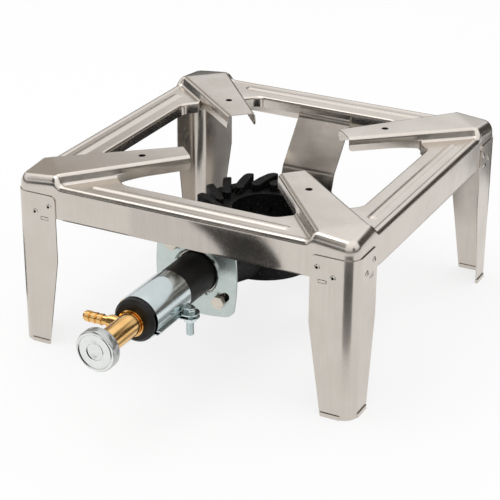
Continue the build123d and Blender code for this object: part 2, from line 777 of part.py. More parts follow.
with BuildPart() as air_shutter_sleeve:
    with BuildSketch(train_section(sleeve_back)):
        Circle(sleeve_outer)
        Circle(sleeve_inner, mode=Mode.SUBTRACT)
        reach = 2 * sleeve_outer
        Polygon(
            (0, 0), (reach * cos(radians(split_upper_angle)), -reach * sin(radians(split_upper_angle))),
            (reach * cos(radians(split_lower_angle)), -reach * sin(radians(split_lower_angle))),
            align=None, mode=Mode.SUBTRACT,
        )
        with Locations((upper_root, upper_lip)):
            Rectangle(upper_lip_reach, sleeve_sheet, align=(Align.MIN, Align.MIN))
        with Locations((lower_root, lower_lip)):
            Rectangle(lower_lip_reach, sleeve_sheet, align=(Align.MIN, Align.MIN))
    extrude(amount=sleeve_length)
    for root, lip in ((upper_root, upper_lip), (lower_root, lower_lip)):
        with BuildSketch(Plane.XY.offset(train_height + lip)):
            with Locations((ear_screw_reach, -ear_screw_distance)):
                Circle(ear_radius)
                Rectangle(ear_screw_reach - root, 2 * ear_radius, align=(Align.MAX, Align.CENTER))
        extrude(amount=sleeve_sheet)
    with BuildSketch(train_section(sleeve_back)):
        Circle(sleeve_inner)
    extrude(amount=sleeve_length, mode=Mode.SUBTRACT)
    with Locations((ear_screw_reach, -ear_screw_distance, train_height)):
        Cylinder(clamp_screw_radius + screw_clearance, 2 * sleeve_outer, mode=Mode.SUBTRACT)
air_shutter_sleeve.part.label = "air_shutter_sleeve"
export_step(air_shutter_sleeve.part, "parts/air_shutter_sleeve.step")

ear_top = train_height + upper_lip + sleeve_sheet + seat_gap
with BuildPart() as clamp_screw:
    with BuildSketch(Plane.XY.offset(ear_top)):
        with Locations((ear_screw_reach, -ear_screw_distance)):
            Circle(clamp_head_radius)
    extrude(amount=clamp_head_height)
    fillet(clamp_screw.edges().group_by(Axis.Z)[-1], clamp_head_edge)
    with BuildSketch(Plane.XY.offset(ear_top)):
        with Locations((ear_screw_reach, -ear_screw_distance)):
            Circle(clamp_screw_radius)
    extrude(amount=-clamp_screw_length)
    with BuildSketch(Plane.XY.offset(ear_top + clamp_head_height)):
        with Locations((ear_screw_reach, -ear_screw_distance)):
            Rectangle(2 * clamp_head_radius, clamp_slot_width)
    extrude(amount=-clamp_slot_depth, mode=Mode.SUBTRACT)
clamp_screw.part.label = "clamp_screw"
export_step(clamp_screw.part, "parts/clamp_screw.step")

with BuildPart() as clamp_nut:
    with BuildSketch(Plane.XY.offset(train_height + lower_lip - seat_gap)):
        with Locations((ear_screw_reach, -ear_screw_distance)):
            RegularPolygon(clamp_nut_width / 2, 6, major_radius=False)
            Circle(clamp_screw_radius + thread_clearance, mode=Mode.SUBTRACT)
    extrude(amount=-clamp_nut_height)
clamp_nut.part.label = "clamp_nut"
export_step(clamp_nut.part, "parts/clamp_nut.step")

# ---------------------------------------------------------------- jet holder and gas valve
spigot_radius = tube_radius - tube_wall - socket_clearance
with BuildPart() as jet_holder:
    with BuildSketch(train_plane):
        Polygon(
            (holder_back - holder_spigot, valve_spigot_radius + thread_clearance),
            (holder_back - holder_spigot, spigot_radius), (holder_back + seat_gap, spigot_radius),
            (holder_back + seat_gap, holder_radius), (holder_front - holder_chamfer, holder_radius),
            (holder_front, holder_radius - holder_chamfer),
            (holder_front, valve_spigot_radius + thread_clearance), align=None,
        )
    revolve(axis=train_axis)
jet_holder.part.label = "jet_holder"
export_step(jet_holder.part, "parts/jet_holder.step")

valve_back = holder_front - valve_spigot_length
valve_seat_face = holder_front + seat_gap
jet_thread_front = valve_back + jet_thread_length
barb_distance = holder_front + barb_setback
barb_plane = Plane(origin=(0, -barb_distance, train_height), x_dir=(-1, 0, 0), z_dir=(0, 1, 0))
barb_axis = Axis((0, -barb_distance, train_height), (-1, 0, 0))
barb_face = Plane(origin=(0, -barb_distance, train_height), x_dir=(0, 1, 0), z_dir=(-1, 0, 0))

with BuildPart() as valve_body:
    with BuildSketch(train_plane):
        collar_front = valve_seat_face + valve_collar_length
        Polygon(
            (valve_back, 0), (valve_back, valve_spigot_radius), (valve_seat_face, valve_spigot_radius),
            (valve_seat_face, valve_collar_radius), (collar_front, valve_collar_radius),
            (collar_front, valve_radius - valve_groove),
            (collar_front + valve_groove, valve_radius - valve_groove),
            (collar_front + valve_groove, valve_radius), (valve_front, valve_radius), (valve_front, 0),
            align=None,
        )
    revolve(axis=train_axis)
    with BuildSketch(barb_face):
        Circle(valve_boss_radius)
    extrude(amount=valve_boss_reach)
    with BuildSketch(train_plane):
        Polygon(
            (valve_back - cut_over, 0), (valve_back - cut_over, jet_thread_radius + thread_clearance),
            (jet_thread_front + seat_gap, jet_thread_radius + thread_clearance),
            (jet_thread_front + seat_gap, gas_passage_radius), (seat_distance, gas_passage_radius),
            (seat_distance + seat_cone_length, chamber_radius),
            (seal_front - seal_pocket_depth, chamber_radius),
            (seal_front - seal_pocket_depth, spindle_radius + seal_width),
            (seal_front, spindle_radius + seal_width), (seal_front, gland_thread_radius + thread_clearance),
            (valve_front + cut_over, gland_thread_radius + thread_clearance), (valve_front + cut_over, 0),
            align=None,
        )
    revolve(axis=train_axis, mode=Mode.SUBTRACT)
    with BuildSketch(barb_face.offset(valve_boss_reach)):
        Circle(barb_thread_radius + thread_clearance)
    extrude(amount=-barb_thread_length - seat_gap, mode=Mode.SUBTRACT)
    with BuildSketch(barb_face):
        Circle(barb_bore_radius)
    extrude(amount=valve_boss_reach, mode=Mode.SUBTRACT)
valve_body.part.label = "valve_body"
export_step(valve_body.part, "parts/valve_body.step")

with BuildPart() as hose_barb:
    collar_start = valve_boss_reach + seat_gap
    ridge_pitch = barb_ridge_length + barb_ridge_gap
    tip = collar_start + barb_length
    outline = [
        (valve_boss_reach - barb_thread_length, barb_bore_radius),
        (valve_boss_reach - barb_thread_length, barb_thread_radius),
        (collar_start, barb_thread_radius), (collar_start, barb_collar_radius),
        (collar_start + barb_collar_length, barb_collar_radius),
        (collar_start + barb_collar_length, barb_radius),
    ]
    for ridge in reversed(range(barb_ridge_count)):
        start = tip - ridge * ridge_pitch - barb_ridge_length
        outline += [
            (start, barb_radius), (start + barb_ridge_gap, barb_ridge_radius),
            (start + barb_ridge_length / 2, barb_ridge_radius), (start + barb_ridge_length, barb_radius),
        ]
    outline += [(tip, barb_bore_radius)]
    with BuildSketch(barb_plane):
        Polygon(*outline, align=None)
    revolve(axis=barb_axis)
hose_barb.part.label = "hose_barb"
export_step(hose_barb.part, "parts/hose_barb.step")

with BuildPart() as gas_jet:
    with BuildSketch(train_section(valve_back - seat_gap)):
        RegularPolygon(jet_hex_width / 2, 6, major_radius=False)
    extrude(amount=-jet_hex_length)
    with BuildSketch(train_plane):
        hex_back = valve_back - seat_gap - jet_hex_length
        Polygon(
            (hex_back - jet_nose_length, 0), (hex_back - jet_nose_length, jet_nose_radius),
            (hex_back, jet_thread_radius), (jet_thread_front, jet_thread_radius), (jet_thread_front, 0),
            align=None,
        )
    revolve(axis=train_axis)
    with BuildSketch(train_plane):
        Polygon(
            (hex_back - jet_nose_length, 0), (hex_back - jet_nose_length, jet_orifice_radius),
            (hex_back, jet_orifice_radius), (hex_back, gas_passage_radius),
            (jet_thread_front, gas_passage_radius), (jet_thread_front, 0), align=None,
        )
    revolve(axis=train_axis, mode=Mode.SUBTRACT)
gas_jet.part.label = "gas_jet"
export_step(gas_jet.part, "parts/gas_jet.step")

needle_front = seat_distance + seat_cone_length + needle_length
with BuildPart() as valve_needle:
    with BuildSketch(train_plane):
        tip_start = seat_distance + running_clearance
        Polygon(
            (tip_start, 0), (tip_start, needle_tip_radius), (tip_start + needle_tip_length, needle_radius),
            (needle_front, needle_radius), (needle_front, needle_pin_radius),
            (needle_front + needle_pin_length, needle_pin_radius), (needle_front + needle_pin_length, 0),
            align=None,
        )
    revolve(axis=train_axis)
valve_needle.part.label = "valve_needle"
export_step(valve_needle.part, "parts/valve_needle.step")

spindle_back = needle_front + spindle_nose_gap
spindle_front = wheel_front - wheel_front_wall - spindle_nose_gap
with BuildPart() as valve_spindle:
    socket_end = needle_front + needle_pin_length + spindle_nose_gap
    thread_front = spindle_back + spindle_thread_length
    with BuildSketch(train_plane):
        Polygon(
            (spindle_back, needle_pin_radius + needle_clearance),
            (spindle_back, chamber_radius - running_clearance),
            (thread_front, chamber_radius - running_clearance), (thread_front, spindle_radius),
            (spindle_front, spindle_radius), (spindle_front, 0), (socket_end, 0),
            (socket_end, needle_pin_radius + needle_clearance), align=None,
        )
    revolve(axis=train_axis)
valve_spindle.part.label = "valve_spindle"
export_step(valve_spindle.part, "parts/valve_spindle.step")

with BuildPart() as spindle_o_ring:
    cord = (seal_width - running_clearance - seat_gap) / 2
    with BuildSketch(train_plane):
        with Locations((seal_front - seal_pocket_depth / 2, spindle_radius + running_clearance + cord)):
            Circle(cord)
    revolve(axis=train_axis)
spindle_o_ring.part.label = "spindle_o_ring"
export_step(spindle_o_ring.part, "parts/spindle_o_ring.step")

with BuildPart() as gland_nut:
    with BuildSketch(train_section(valve_front + seat_gap)):
        RegularPolygon(gland_hex_width / 2, 6, major_radius=False)
    extrude(amount=gland_hex_length - seat_gap)
    with BuildSketch(train_section(valve_front + seat_gap)):
        Circle(gland_thread_radius)
    extrude(amount=-gland_thread_length)
    with BuildSketch(train_section(seal_front)):
        Circle(spindle_radius + running_clearance)
    extrude(amount=gland_thread_length + gland_hex_length, mode=Mode.SUBTRACT)
gland_nut.part.label = "gland_nut"
export_step(gland_nut.part, "parts/gland_nut.step")

# ---------------------------------------------------------------- hand wheel
with BuildPart() as knob:
    with BuildSketch(train_plane):
        recess_radius = wheel_radius - wheel_rim_width
        recess_face = wheel_front - wheel_recess
        Polygon(
            (wheel_back, 0), (wheel_back, wheel_hub_radius), (wheel_disc_back, wheel_hub_radius),
            (wheel_disc_back, wheel_radius - wheel_chamfer), (wheel_disc_back + wheel_chamfer, wheel_radius),
            (wheel_front - wheel_chamfer, wheel_radius), (wheel_front, wheel_radius - wheel_chamfer),
            (wheel_front, recess_radius), (recess_face, recess_radius - wheel_chamfer / 2),
            (recess_face, wheel_boss_radius + wheel_chamfer / 2),
            (recess_face + wheel_boss_height, wheel_boss_radius), (recess_face + wheel_boss_height, 0),
            align=None,
        )
    revolve(axis=train_axis)
    with BuildSketch(train_section(wheel_back)):
        Circle(spindle_radius + thread_clearance)
    extrude(amount=wheel_front - wheel_front_wall - wheel_back, mode=Mode.SUBTRACT)
    with BuildSketch(Plane.XY.offset(train_height)):
        with Locations((0, -(wheel_disc_back + wheel_thickness / 2))):
            Circle(grub_radius + thread_clearance)
    extrude(amount=-wheel_radius, mode=Mode.SUBTRACT)
knob.part.label = "knob"
export_step(knob.part, "parts/knob.step")

with BuildPart() as knob_screw:
    with BuildSketch(Plane.XY.offset(train_height - spindle_radius - seat_gap)):
        with Locations((0, -(wheel_disc_back + wheel_thickness / 2))):
            Circle(grub_radius)
            RegularPolygon(grub_radius / 2, 6, mode=Mode.SUBTRACT)
    extrude(amount=-grub_length)
knob_screw.part.label = "knob_screw"
export_step(knob_screw.part, "parts/knob_screw.step")
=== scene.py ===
"""Stock pot range: a low square gas stool cooker, dressed over its CAD frame."""
import json
import math

import bmesh
import bpy
import numpy as np
from mathutils import Matrix, Vector
from mathutils.geometry import delaunay_2d_cdt


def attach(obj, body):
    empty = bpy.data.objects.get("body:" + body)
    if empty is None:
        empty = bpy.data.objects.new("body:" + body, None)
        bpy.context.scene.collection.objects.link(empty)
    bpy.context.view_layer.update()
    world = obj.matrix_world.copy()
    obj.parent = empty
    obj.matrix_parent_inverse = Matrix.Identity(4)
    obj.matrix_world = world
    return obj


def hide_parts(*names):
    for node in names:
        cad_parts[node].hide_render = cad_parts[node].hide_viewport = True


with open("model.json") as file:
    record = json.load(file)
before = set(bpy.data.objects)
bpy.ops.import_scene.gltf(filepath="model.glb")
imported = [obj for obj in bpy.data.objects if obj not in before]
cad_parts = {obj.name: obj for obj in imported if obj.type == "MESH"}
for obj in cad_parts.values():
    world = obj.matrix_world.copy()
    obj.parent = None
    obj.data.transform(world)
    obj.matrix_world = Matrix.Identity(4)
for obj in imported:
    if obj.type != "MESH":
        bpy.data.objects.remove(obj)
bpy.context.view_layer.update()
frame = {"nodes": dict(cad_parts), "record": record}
nodes = frame["nodes"]
mm = 0.001
train_height = 110.0        # of the gas train's axis above the floor
bpy.ops.object.select_all(action="DESELECT")


# ---------------------------------------------------------------- colour and nodes
def linear(hex_colour):
    """An sRGB hex colour as linear red, green, blue and alpha."""
    channels = [int(hex_colour[i:i + 2], 16) / 255 for i in (1, 3, 5)]
    return [c / 12.92 if c <= 0.04045 else ((c + 0.055) / 1.055) ** 2.4 for c in channels] + [1]


def per(size):
    """The scale that gives a pattern features of a size in millimetres."""
    return 1 / (size * mm)


def add(tree, kind, inputs=None, **settings):
    """Adds a node. An input given as a socket is linked, and any other is set; settings are the node's own."""
    node = tree.nodes.new("ShaderNode" + kind)
    for name, value in settings.items():
        setattr(node, name, value)
    for name, value in (inputs or {}).items():
        if isinstance(value, bpy.types.NodeSocket):
            tree.links.new(value, node.inputs[name])
        else:
            node.inputs[name].default_value = value
    return node


def new_material(name, **shader):
    """A node material with one Principled shader. Returns it, its tree, the shader and Object coordinates."""
    material = bpy.data.materials.new(name)
    material.use_nodes = True
    tree = material.node_tree
    tree.nodes.clear()
    surface = add(tree, "BsdfPrincipled", shader)
    add(tree, "OutputMaterial", {"Surface": surface.outputs[0]})
    place = add(tree, "TexCoord").outputs["Object"]
    return material, tree, surface, place


def satin_stainless():
    """Stainless sheet, rolled, pressed and brushed to a satin: warm grey, soft reflections, a fine grain and faint
    smudges. The real grain is under 0.1 mm, and is drawn coarser so that it shows."""
    material, tree, surface, place = new_material("Satin_stainless_pressed_sheet", Metallic=1.0)
    smudges = add(tree, "TexNoise", {"Vector": place, "Scale": per(45), "Detail": 3.0, "Roughness": 0.55})
    grain = add(tree, "TexNoise", {"Vector": place, "Scale": per(0.9), "Detail": 2.0})
    peel = add(tree, "TexNoise", {"Vector": place, "Scale": per(14), "Detail": 2.0})
    # the grain of the roll runs up and down the skirt and the legs
    upright = add(tree, "Mapping", {"Vector": place, "Scale": (1, 1, 0.04)})
    streaks = add(tree, "TexNoise", {"Vector": upright.outputs[0], "Scale": per(3), "Detail": 4.0, "Roughness": 0.7})
    tint = add(tree, "Mix", {0: smudges.outputs["Fac"], 6: linear("#d4cdc5"), 7: linear("#c7bfb6")}, data_type="RGBA")
    streaked = add(tree, "MapRange", {0: streaks.outputs["Fac"], 1: 0.3, 2: 0.7, 3: 0.0, 4: 0.1})
    toned = add(tree, "Mix", {0: streaked.outputs[0], 6: tint.outputs[2], 7: linear("#948c84")}, data_type="RGBA")
    tree.links.new(toned.outputs[2], surface.inputs["Base Color"])
    rough = add(tree, "MapRange", {0: smudges.outputs["Fac"], 1: 0.3, 2: 0.7, 3: 0.17, 4: 0.27})
    grainy = add(tree, "MapRange", {0: grain.outputs["Fac"], 1: 0.3, 2: 0.7, 3: -0.03, 4: 0.03})
    both = add(tree, "Math", {0: rough.outputs[0], 1: grainy.outputs[0]}, operation="ADD")
    tree.links.new(both.outputs[0], surface.inputs["Roughness"])
    wavy = add(tree, "Bump", {"Height": peel.outputs["Fac"], "Strength": 0.06, "Distance": 1 * mm})
    fine = add(tree, "Bump", {
        "Height": grain.outputs["Fac"], "Normal": wavy.outputs[0], "Strength": 0.05, "Distance": 0.1 * mm})
    tree.links.new(fine.outputs[0], surface.inputs["Normal"])
    return material


def bright_zinc():
    """Zinc-plated steel: cool bluish white, with cloudy patches of the passivated coat."""
    material, tree, surface, place = new_material("Bright_zinc_plated_steel", Metallic=1.0)
    clouds = add(tree, "TexNoise", {"Vector": place, "Scale": per(16), "Detail": 3.0, "Roughness": 0.5})
    grain = add(tree, "TexNoise", {"Vector": place, "Scale": per(0.8), "Detail": 2.0})
    tint = add(tree, "Mix", {0: clouds.outputs["Fac"], 6: linear("#dbe5e5"), 7: linear("#cbd6d8")}, data_type="RGBA")
    tree.links.new(tint.outputs[2], surface.inputs["Base Color"])
    rough = add(tree, "MapRange", {0: clouds.outputs["Fac"], 1: 0.3, 2: 0.7, 3: 0.16, 4: 0.24})
    tree.links.new(rough.outputs[0], surface.inputs["Roughness"])
    bump = add(tree, "Bump", {"Height": grain.outputs["Fac"], "Strength": 0.03, "Distance": 0.1 * mm})
    tree.links.new(bump.outputs[0], surface.inputs["Normal"])
    return material


def sand_cast_iron():
    """Grey iron cast in sand and blackened: near black, matte, with a coarse pebbled skin that shines only on its
    crests."""
    material, tree, surface, place = new_material("Cast_iron_sand_cast_blackened", **{"Specular IOR Level": 0.16})
    pebbles = add(tree, "TexNoise", {"Vector": place, "Scale": per(2.6), "Detail": 4.0, "Roughness": 0.6})
    lumps = add(tree, "TexNoise", {"Vector": place, "Scale": per(11), "Detail": 2.0})
    tint = add(tree, "Mix", {0: pebbles.outputs["Fac"], 6: linear("#060606"), 7: linear("#141312")}, data_type="RGBA")
    worn = add(tree, "MapRange", {0: pebbles.outputs["Fac"], 1: 0.63, 2: 0.72, 3: 0.0, 4: 1.0})
    bare = add(tree, "Mix", {0: worn.outputs[0], 6: tint.outputs[2], 7: linear("#6e6d6b")}, data_type="RGBA")
    tree.links.new(bare.outputs[2], surface.inputs["Base Color"])
    half = add(tree, "Math", {0: worn.outputs[0], 1: 0.6}, operation="MULTIPLY")
    tree.links.new(half.outputs[0], surface.inputs["Metallic"])
    rough = add(tree, "MapRange", {0: pebbles.outputs["Fac"], 1: 0.3, 2: 0.7, 3: 0.62, 4: 0.42})
    tree.links.new(rough.outputs[0], surface.inputs["Roughness"])
    coarse = add(tree, "Bump", {"Height": lumps.outputs["Fac"], "Strength": 0.35, "Distance": 1.5 * mm})
    fine = add(tree, "Bump", {
        "Height": pebbles.outputs["Fac"], "Normal": coarse.outputs[0], "Strength": 0.5, "Distance": 0.6 * mm})
    tree.links.new(fine.outputs[0], surface.inputs["Normal"])
    return material


def black_painted_steel():
    """Steel tube under a baked black paint: satin, with a slight orange peel."""
    material, tree, surface, place = new_material("Satin_black_paint_on_steel", **{"Specular IOR Level": 0.25})
    peel = add(tree, "TexNoise", {"Vector": place, "Scale": per(1.6), "Detail": 2.0})
    wear = add(tree, "TexNoise", {"Vector": place, "Scale": per(9), "Detail": 5.0, "Roughness": 0.65})
    tint = add(tree, "Mix", {0: wear.outputs["Fac"], 6: linear("#0d0c0c"), 7: linear("#221f1d")}, data_type="RGBA")
    tree.links.new(tint.outputs[2], surface.inputs["Base Color"])
    rough = add(tree, "MapRange", {0: wear.outputs["Fac"], 1: 0.3, 2: 0.7, 3: 0.36, 4: 0.5})
    tree.links.new(rough.outputs[0], surface.inputs["Roughness"])
    bump = add(tree, "Bump", {"Height": peel.outputs["Fac"], "Strength": 0.15, "Distance": 0.2 * mm})
    tree.links.new(bump.outputs[0], surface.inputs["Normal"])
    return material


# a Wave texture's scale divided by this draws its bands about twice the given size apart: real tool marks are finer,
# and wouldn't show
wave_share = 6.3


def turned_brass():
    """Brass turned from bar: golden, glossy, with fine tool rings and a brown tarnish in places."""
    material, tree, surface, place = new_material("Turned_brass_bar", Metallic=1.0)
    tarnish = add(tree, "TexNoise", {"Vector": place, "Scale": per(12), "Detail": 2.0})
    rings = add(tree, "TexWave", {
        "Vector": place, "Scale": per(0.7) / wave_share, "Distortion": 0.4, "Detail": 1.0}, bands_direction="Y")
    tint = add(tree, "Mix", {0: tarnish.outputs["Fac"], 6: linear("#f0c88a"), 7: linear("#dba961")}, data_type="RGBA")
    tree.links.new(tint.outputs[2], surface.inputs["Base Color"])
    rough = add(tree, "MapRange", {0: tarnish.outputs["Fac"], 1: 0.3, 2: 0.7, 3: 0.13, 4: 0.2})
    tree.links.new(rough.outputs[0], surface.inputs["Roughness"])
    bump = add(tree, "Bump", {"Height": rings.outputs["Fac"], "Strength": 0.05, "Distance": 0.1 * mm})
    tree.links.new(bump.outputs[0], surface.inputs["Normal"])
    return material


def satin_wheel_metal():
    """Die-cast and lathe-faced light alloy: whitish satin, with fine rings round the wheel's axis."""
    material, tree, surface, place = new_material("Satin_die_cast_alloy_faced", Metallic=0.85)
    axis = add(tree, "Mapping", {"Vector": place, "Location": (0, 0, -train_height * mm)})
    rings = add(tree, "TexWave", {
        "Vector": axis.outputs[0], "Scale": per(0.8) / wave_share, "Distortion": 0.2},
        wave_type="RINGS", rings_direction="Y")
    haze = add(tree, "TexNoise", {"Vector": place, "Scale": per(6), "Detail": 3.0})
    tint = add(tree, "Mix", {0: haze.outputs["Fac"], 6: linear("#eceeeb"), 7: linear("#dcdedb")}, data_type="RGBA")
    # painted shade in the two turned grooves, darkest on two opposite sides, and a greyer rim round the wheel
    face = add(tree, "VectorMath", {0: axis.outputs[0], 1: (1, 0, 1)}, operation="MULTIPLY").outputs[0]
    reach = add(tree, "VectorMath", {0: face}, operation="LENGTH").outputs["Value"]
    way = add(tree, "VectorMath", {0: face}, operation="NORMALIZE").outputs[0]
    lean = add(tree, "VectorMath", {0: way, 1: (0.87, 0, 0.5)}, operation="DOT_PRODUCT").outputs["Value"]
    lean = add(tree, "Math", {0: lean}, operation="ABSOLUTE").outputs[0]
    shaded_sides = add(tree, "MapRange", {0: lean, 1: 0.72, 2: 0.92, 3: 0.0, 4: 0.92})
    grooves = [
        add(tree, "Math", {0: reach, 1: radius * mm, 2: width * mm}, operation="COMPARE").outputs[0]
        for radius, width in ((18.5, 0.85), (9.2, 0.6))]
    groove_shade = add(tree, "Math", {0: grooves[0], 1: grooves[1]}, operation="ADD")
    groove_shade = add(tree, "Math", {0: groove_shade.outputs[0], 1: shaded_sides.outputs[0]}, operation="MULTIPLY")
    rim = add(tree, "MapRange", {0: reach, 1: 20.4 * mm, 2: 21.6 * mm, 3: 0.0, 4: 0.8})
    tint = add(tree, "Mix", {0: rim.outputs[0], 6: tint.outputs[2], 7: linear("#a7a9a8")}, data_type="RGBA")
    # painted shade: the grooves are painted near black
    tint = add(tree, "Mix", {0: groove_shade.outputs[0], 6: tint.outputs[2], 7: linear("#171615")}, data_type="RGBA")
    tree.links.new(tint.outputs[2], surface.inputs["Base Color"])
    rough = add(tree, "MapRange", {0: haze.outputs["Fac"], 1: 0.3, 2: 0.7, 3: 0.18, 4: 0.26})
    tree.links.new(rough.outputs[0], surface.inputs["Roughness"])
    bump = add(tree, "Bump", {"Height": rings.outputs["Fac"], "Strength": 0.05, "Distance": 0.1 * mm})
    tree.links.new(bump.outputs[0], surface.inputs["Normal"])
    return material


def dull_zinc():
    """Zinc plate gone dull: a greyer, rougher skin than the sleeve's."""
    material, tree, surface, place = new_material("Dull_zinc_plated_sheet", Metallic=1.0)
    clouds = add(tree, "TexNoise", {"Vector": place, "Scale": per(18), "Detail": 3.0})
    tint = add(tree, "Mix", {0: clouds.outputs["Fac"], 6: linear("#c9d1cb"), 7: linear("#b9c4c3")}, data_type="RGBA")
    tree.links.new(tint.outputs[2], surface.inputs["Base Color"])
    rough = add(tree, "MapRange", {0: clouds.outputs["Fac"], 1: 0.3, 2: 0.7, 3: 0.22, 4: 0.32})
    tree.links.new(rough.outputs[0], surface.inputs["Roughness"])
    return material


def plain_bolt_steel():
    """Cold-headed bolt, zinc-plated with a warm passivate: pale straw, satin."""
    material, tree, surface, place = new_material("Bolt_steel_straw_passivated", Metallic=0.7)
    clouds = add(tree, "TexNoise", {"Vector": place, "Scale": per(5), "Detail": 2.0})
    tint = add(tree, "Mix", {0: clouds.outputs["Fac"], 6: linear("#e4ddd0"), 7: linear("#cfc6b8")}, data_type="RGBA")
    tree.links.new(tint.outputs[2], surface.inputs["Base Color"])
    rough = add(tree, "MapRange", {0: clouds.outputs["Fac"], 3: 0.25, 4: 0.4})
    tree.links.new(rough.outputs[0], surface.inputs["Roughness"])
    return material


def rivet_steel():
    """Blind rivets: bright crowns round a bore painted dark, as painted shade in its hollow. Each leg wing has two
    rivets. The smaller of a point's X and Y is its place along a side, so one pattern fits all four sides."""
    material, tree, surface, place = new_material("Blind_rivet_steel", Metallic=1.0)
    split = add(tree, "SeparateXYZ", {0: place})
    sideways = [add(tree, "Math", {0: split.outputs[axis]}, operation="ABSOLUTE").outputs[0] for axis in ("X", "Y")]
    along = add(tree, "Math", {0: sideways[0], 1: sideways[1]}, operation="MINIMUM").outputs[0]
    spot = add(tree, "CombineXYZ", {0: along, 1: split.outputs["Z"]}).outputs[0]
    reach = [add(tree, "VectorMath", {0: spot, 1: (x * mm, z * mm, 0)}, operation="DISTANCE").outputs["Value"]
             for x, z in ((158.3, 167.5), (175.8, 159.0))]
    nearest = add(tree, "Math", {0: reach[0], 1: reach[1]}, operation="MINIMUM")
    painted_bore_shade = add(tree, "MapRange", {0: nearest.outputs[0], 1: 1.4 * mm, 2: 1.7 * mm, 3: 1.0, 4: 0.0})
    haze = add(tree, "TexNoise", {"Vector": place, "Scale": per(4), "Detail": 2.0})
    tint = add(tree, "Mix", {0: haze.outputs["Fac"], 6: linear("#ddd8d0"), 7: linear("#c4beb5")}, data_type="RGBA")
    # painted shade: the bore is painted near black
    dark = add(tree, "Mix", {0: painted_bore_shade.outputs[0], 6: tint.outputs[2], 7: linear("#0c0b0a")}, data_type="RGBA")
    tree.links.new(dark.outputs[2], surface.inputs["Base Color"])
    rough = add(tree, "MapRange", {0: haze.outputs["Fac"], 3: 0.2, 4: 0.3})
    tree.links.new(rough.outputs[0], surface.inputs["Roughness"])
    return material


def black_rubber():
    """Moulded nitrile rubber: black and dull, with a faint bloom."""
    material, tree, surface, place = new_material("Moulded_nitrile_rubber")
    bloom = add(tree, "TexNoise", {"Vector": place, "Scale": per(1.5), "Detail": 3.0})
    tint = add(tree, "Mix", {0: bloom.outputs["Fac"], 6: linear("#141414"), 7: linear("#202020")}, data_type="RGBA")
    tree.links.new(tint.outputs[2], surface.inputs["Base Color"])
    rough = add(tree, "MapRange", {0: bloom.outputs["Fac"], 3: 0.6, 4: 0.75})
    tree.links.new(rough.outputs[0], surface.inputs["Roughness"])
    return material


finish = {
    "stainless": satin_stainless(),
    "zinc": bright_zinc(),
    "cast_iron": sand_cast_iron(),
    "black_metal": black_painted_steel(),
    "brass": turned_brass(),
    "wheel_metal": satin_wheel_metal(),
    "rubber": black_rubber(),
}
for part in frame["record"]["subparts"]:
    mesh = nodes[part["node"]].data
    mesh.materials.clear()
    mesh.materials.append(finish[part["material_slot"]])


# ---------------------------------------------------------------- pressed top frame
# All in millimetres. s is the distance from the sharp corner along the arm, t the distance from the arm's middle.
# One eighth of the sheet, from the middle of a side to the diagonal, is drawn flat, raised to its heights, folded
# down at its edges and copied round.
root2 = math.sqrt(2)
frame_half, rail_top, arm_top = 200.0, 191.0, 202.0
skirt_bottom, flange_bottom, arm_flange_bottom = 154.5, 178.0, 186.0
sheet = 1.2
fold_start = 9.6            # from the outer face in to where the flat ends
flat_edge = frame_half - fold_start
corner_centre, corner_arc = 186.0, 4.4   # the corner's round, where the flat ends
rail_fold, arm_fold, arm_fold_drop = 6.0, 9.6, 14.0
flange_fold = 3.5           # of the inner flange along the rails
flank_fold, flank_lift = 1.2, 1.5   # the same fold where it has climbed the arm's flank, and how far its edge rises
flare_out, flare_end, flare_fade = 0.6, 146, 6   # the skirt's lower edge turns out between the legs
opening_half, opening_diagonal, opening_radius = 157.5, 247.5, 18.0
diagonal_end = 34.5         # where the opening's diagonal edge meets the arm's foot
arm_reach, arm_tip_half, arm_root_half, arm_crease = 190.0, 17.0, 30.0, 36.0
crease_start, crease_soft, crease_drop = 46.0, 8.0, 5 / 36   # where the top starts to fall, how softly, and its slope
crease_bend = 12            # how far from the middle the crease's lines turn
junction = (2 * frame_half - opening_diagonal - root2 * flange_fold) / root2
hole_spacing, hole_radius, collar = 202, 4.0, 5.0
hole_s = (2 * frame_half - hole_spacing) / root2
rib_middle, rib_end = 178.75, 112.0
rib_offsets = [0.0, 1.2, 2.2, 3.4, 4.6, 5.8, 7.0]
rib_heights = [2.0, 1.9, 1.58, 1.05, 0.48, 0.1, 0.0]
bead_rise = 0.9             # of a low bead along the rails' outer fold
foot_slope, tip_slope = 66, 85           # degrees of the arm's flank, beside the rail and where it is free of it
steeper_from, steeper_over = 92, 30      # where along the arm the one turns into the other
flank_top_radius, flank_foot_radius, root_inset = 5.0, 4.5, 0.7
flank_steps, foot_steps = 5, 4
wall_line = flank_steps + 1              # lines of the flank are counted from the flat top: this is the wall's foot
foot_line = wall_line + foot_steps
weld = 0.02                 # points nearer than this are one
line_gap = 1.5              # the least distance from a flank line's start to its next point


def at(s, t):
    """The place of a point that is given along and across the arm."""
    return ((2 * frame_half - root2 * s - root2 * t) / 2, (2 * frame_half - root2 * s + root2 * t) / 2)


def arm_half(s):
    """Half the arm's width, which narrows to its tip."""
    return arm_tip_half + (arm_root_half - arm_tip_half) / (arm_reach - arm_crease) * (arm_reach - s)


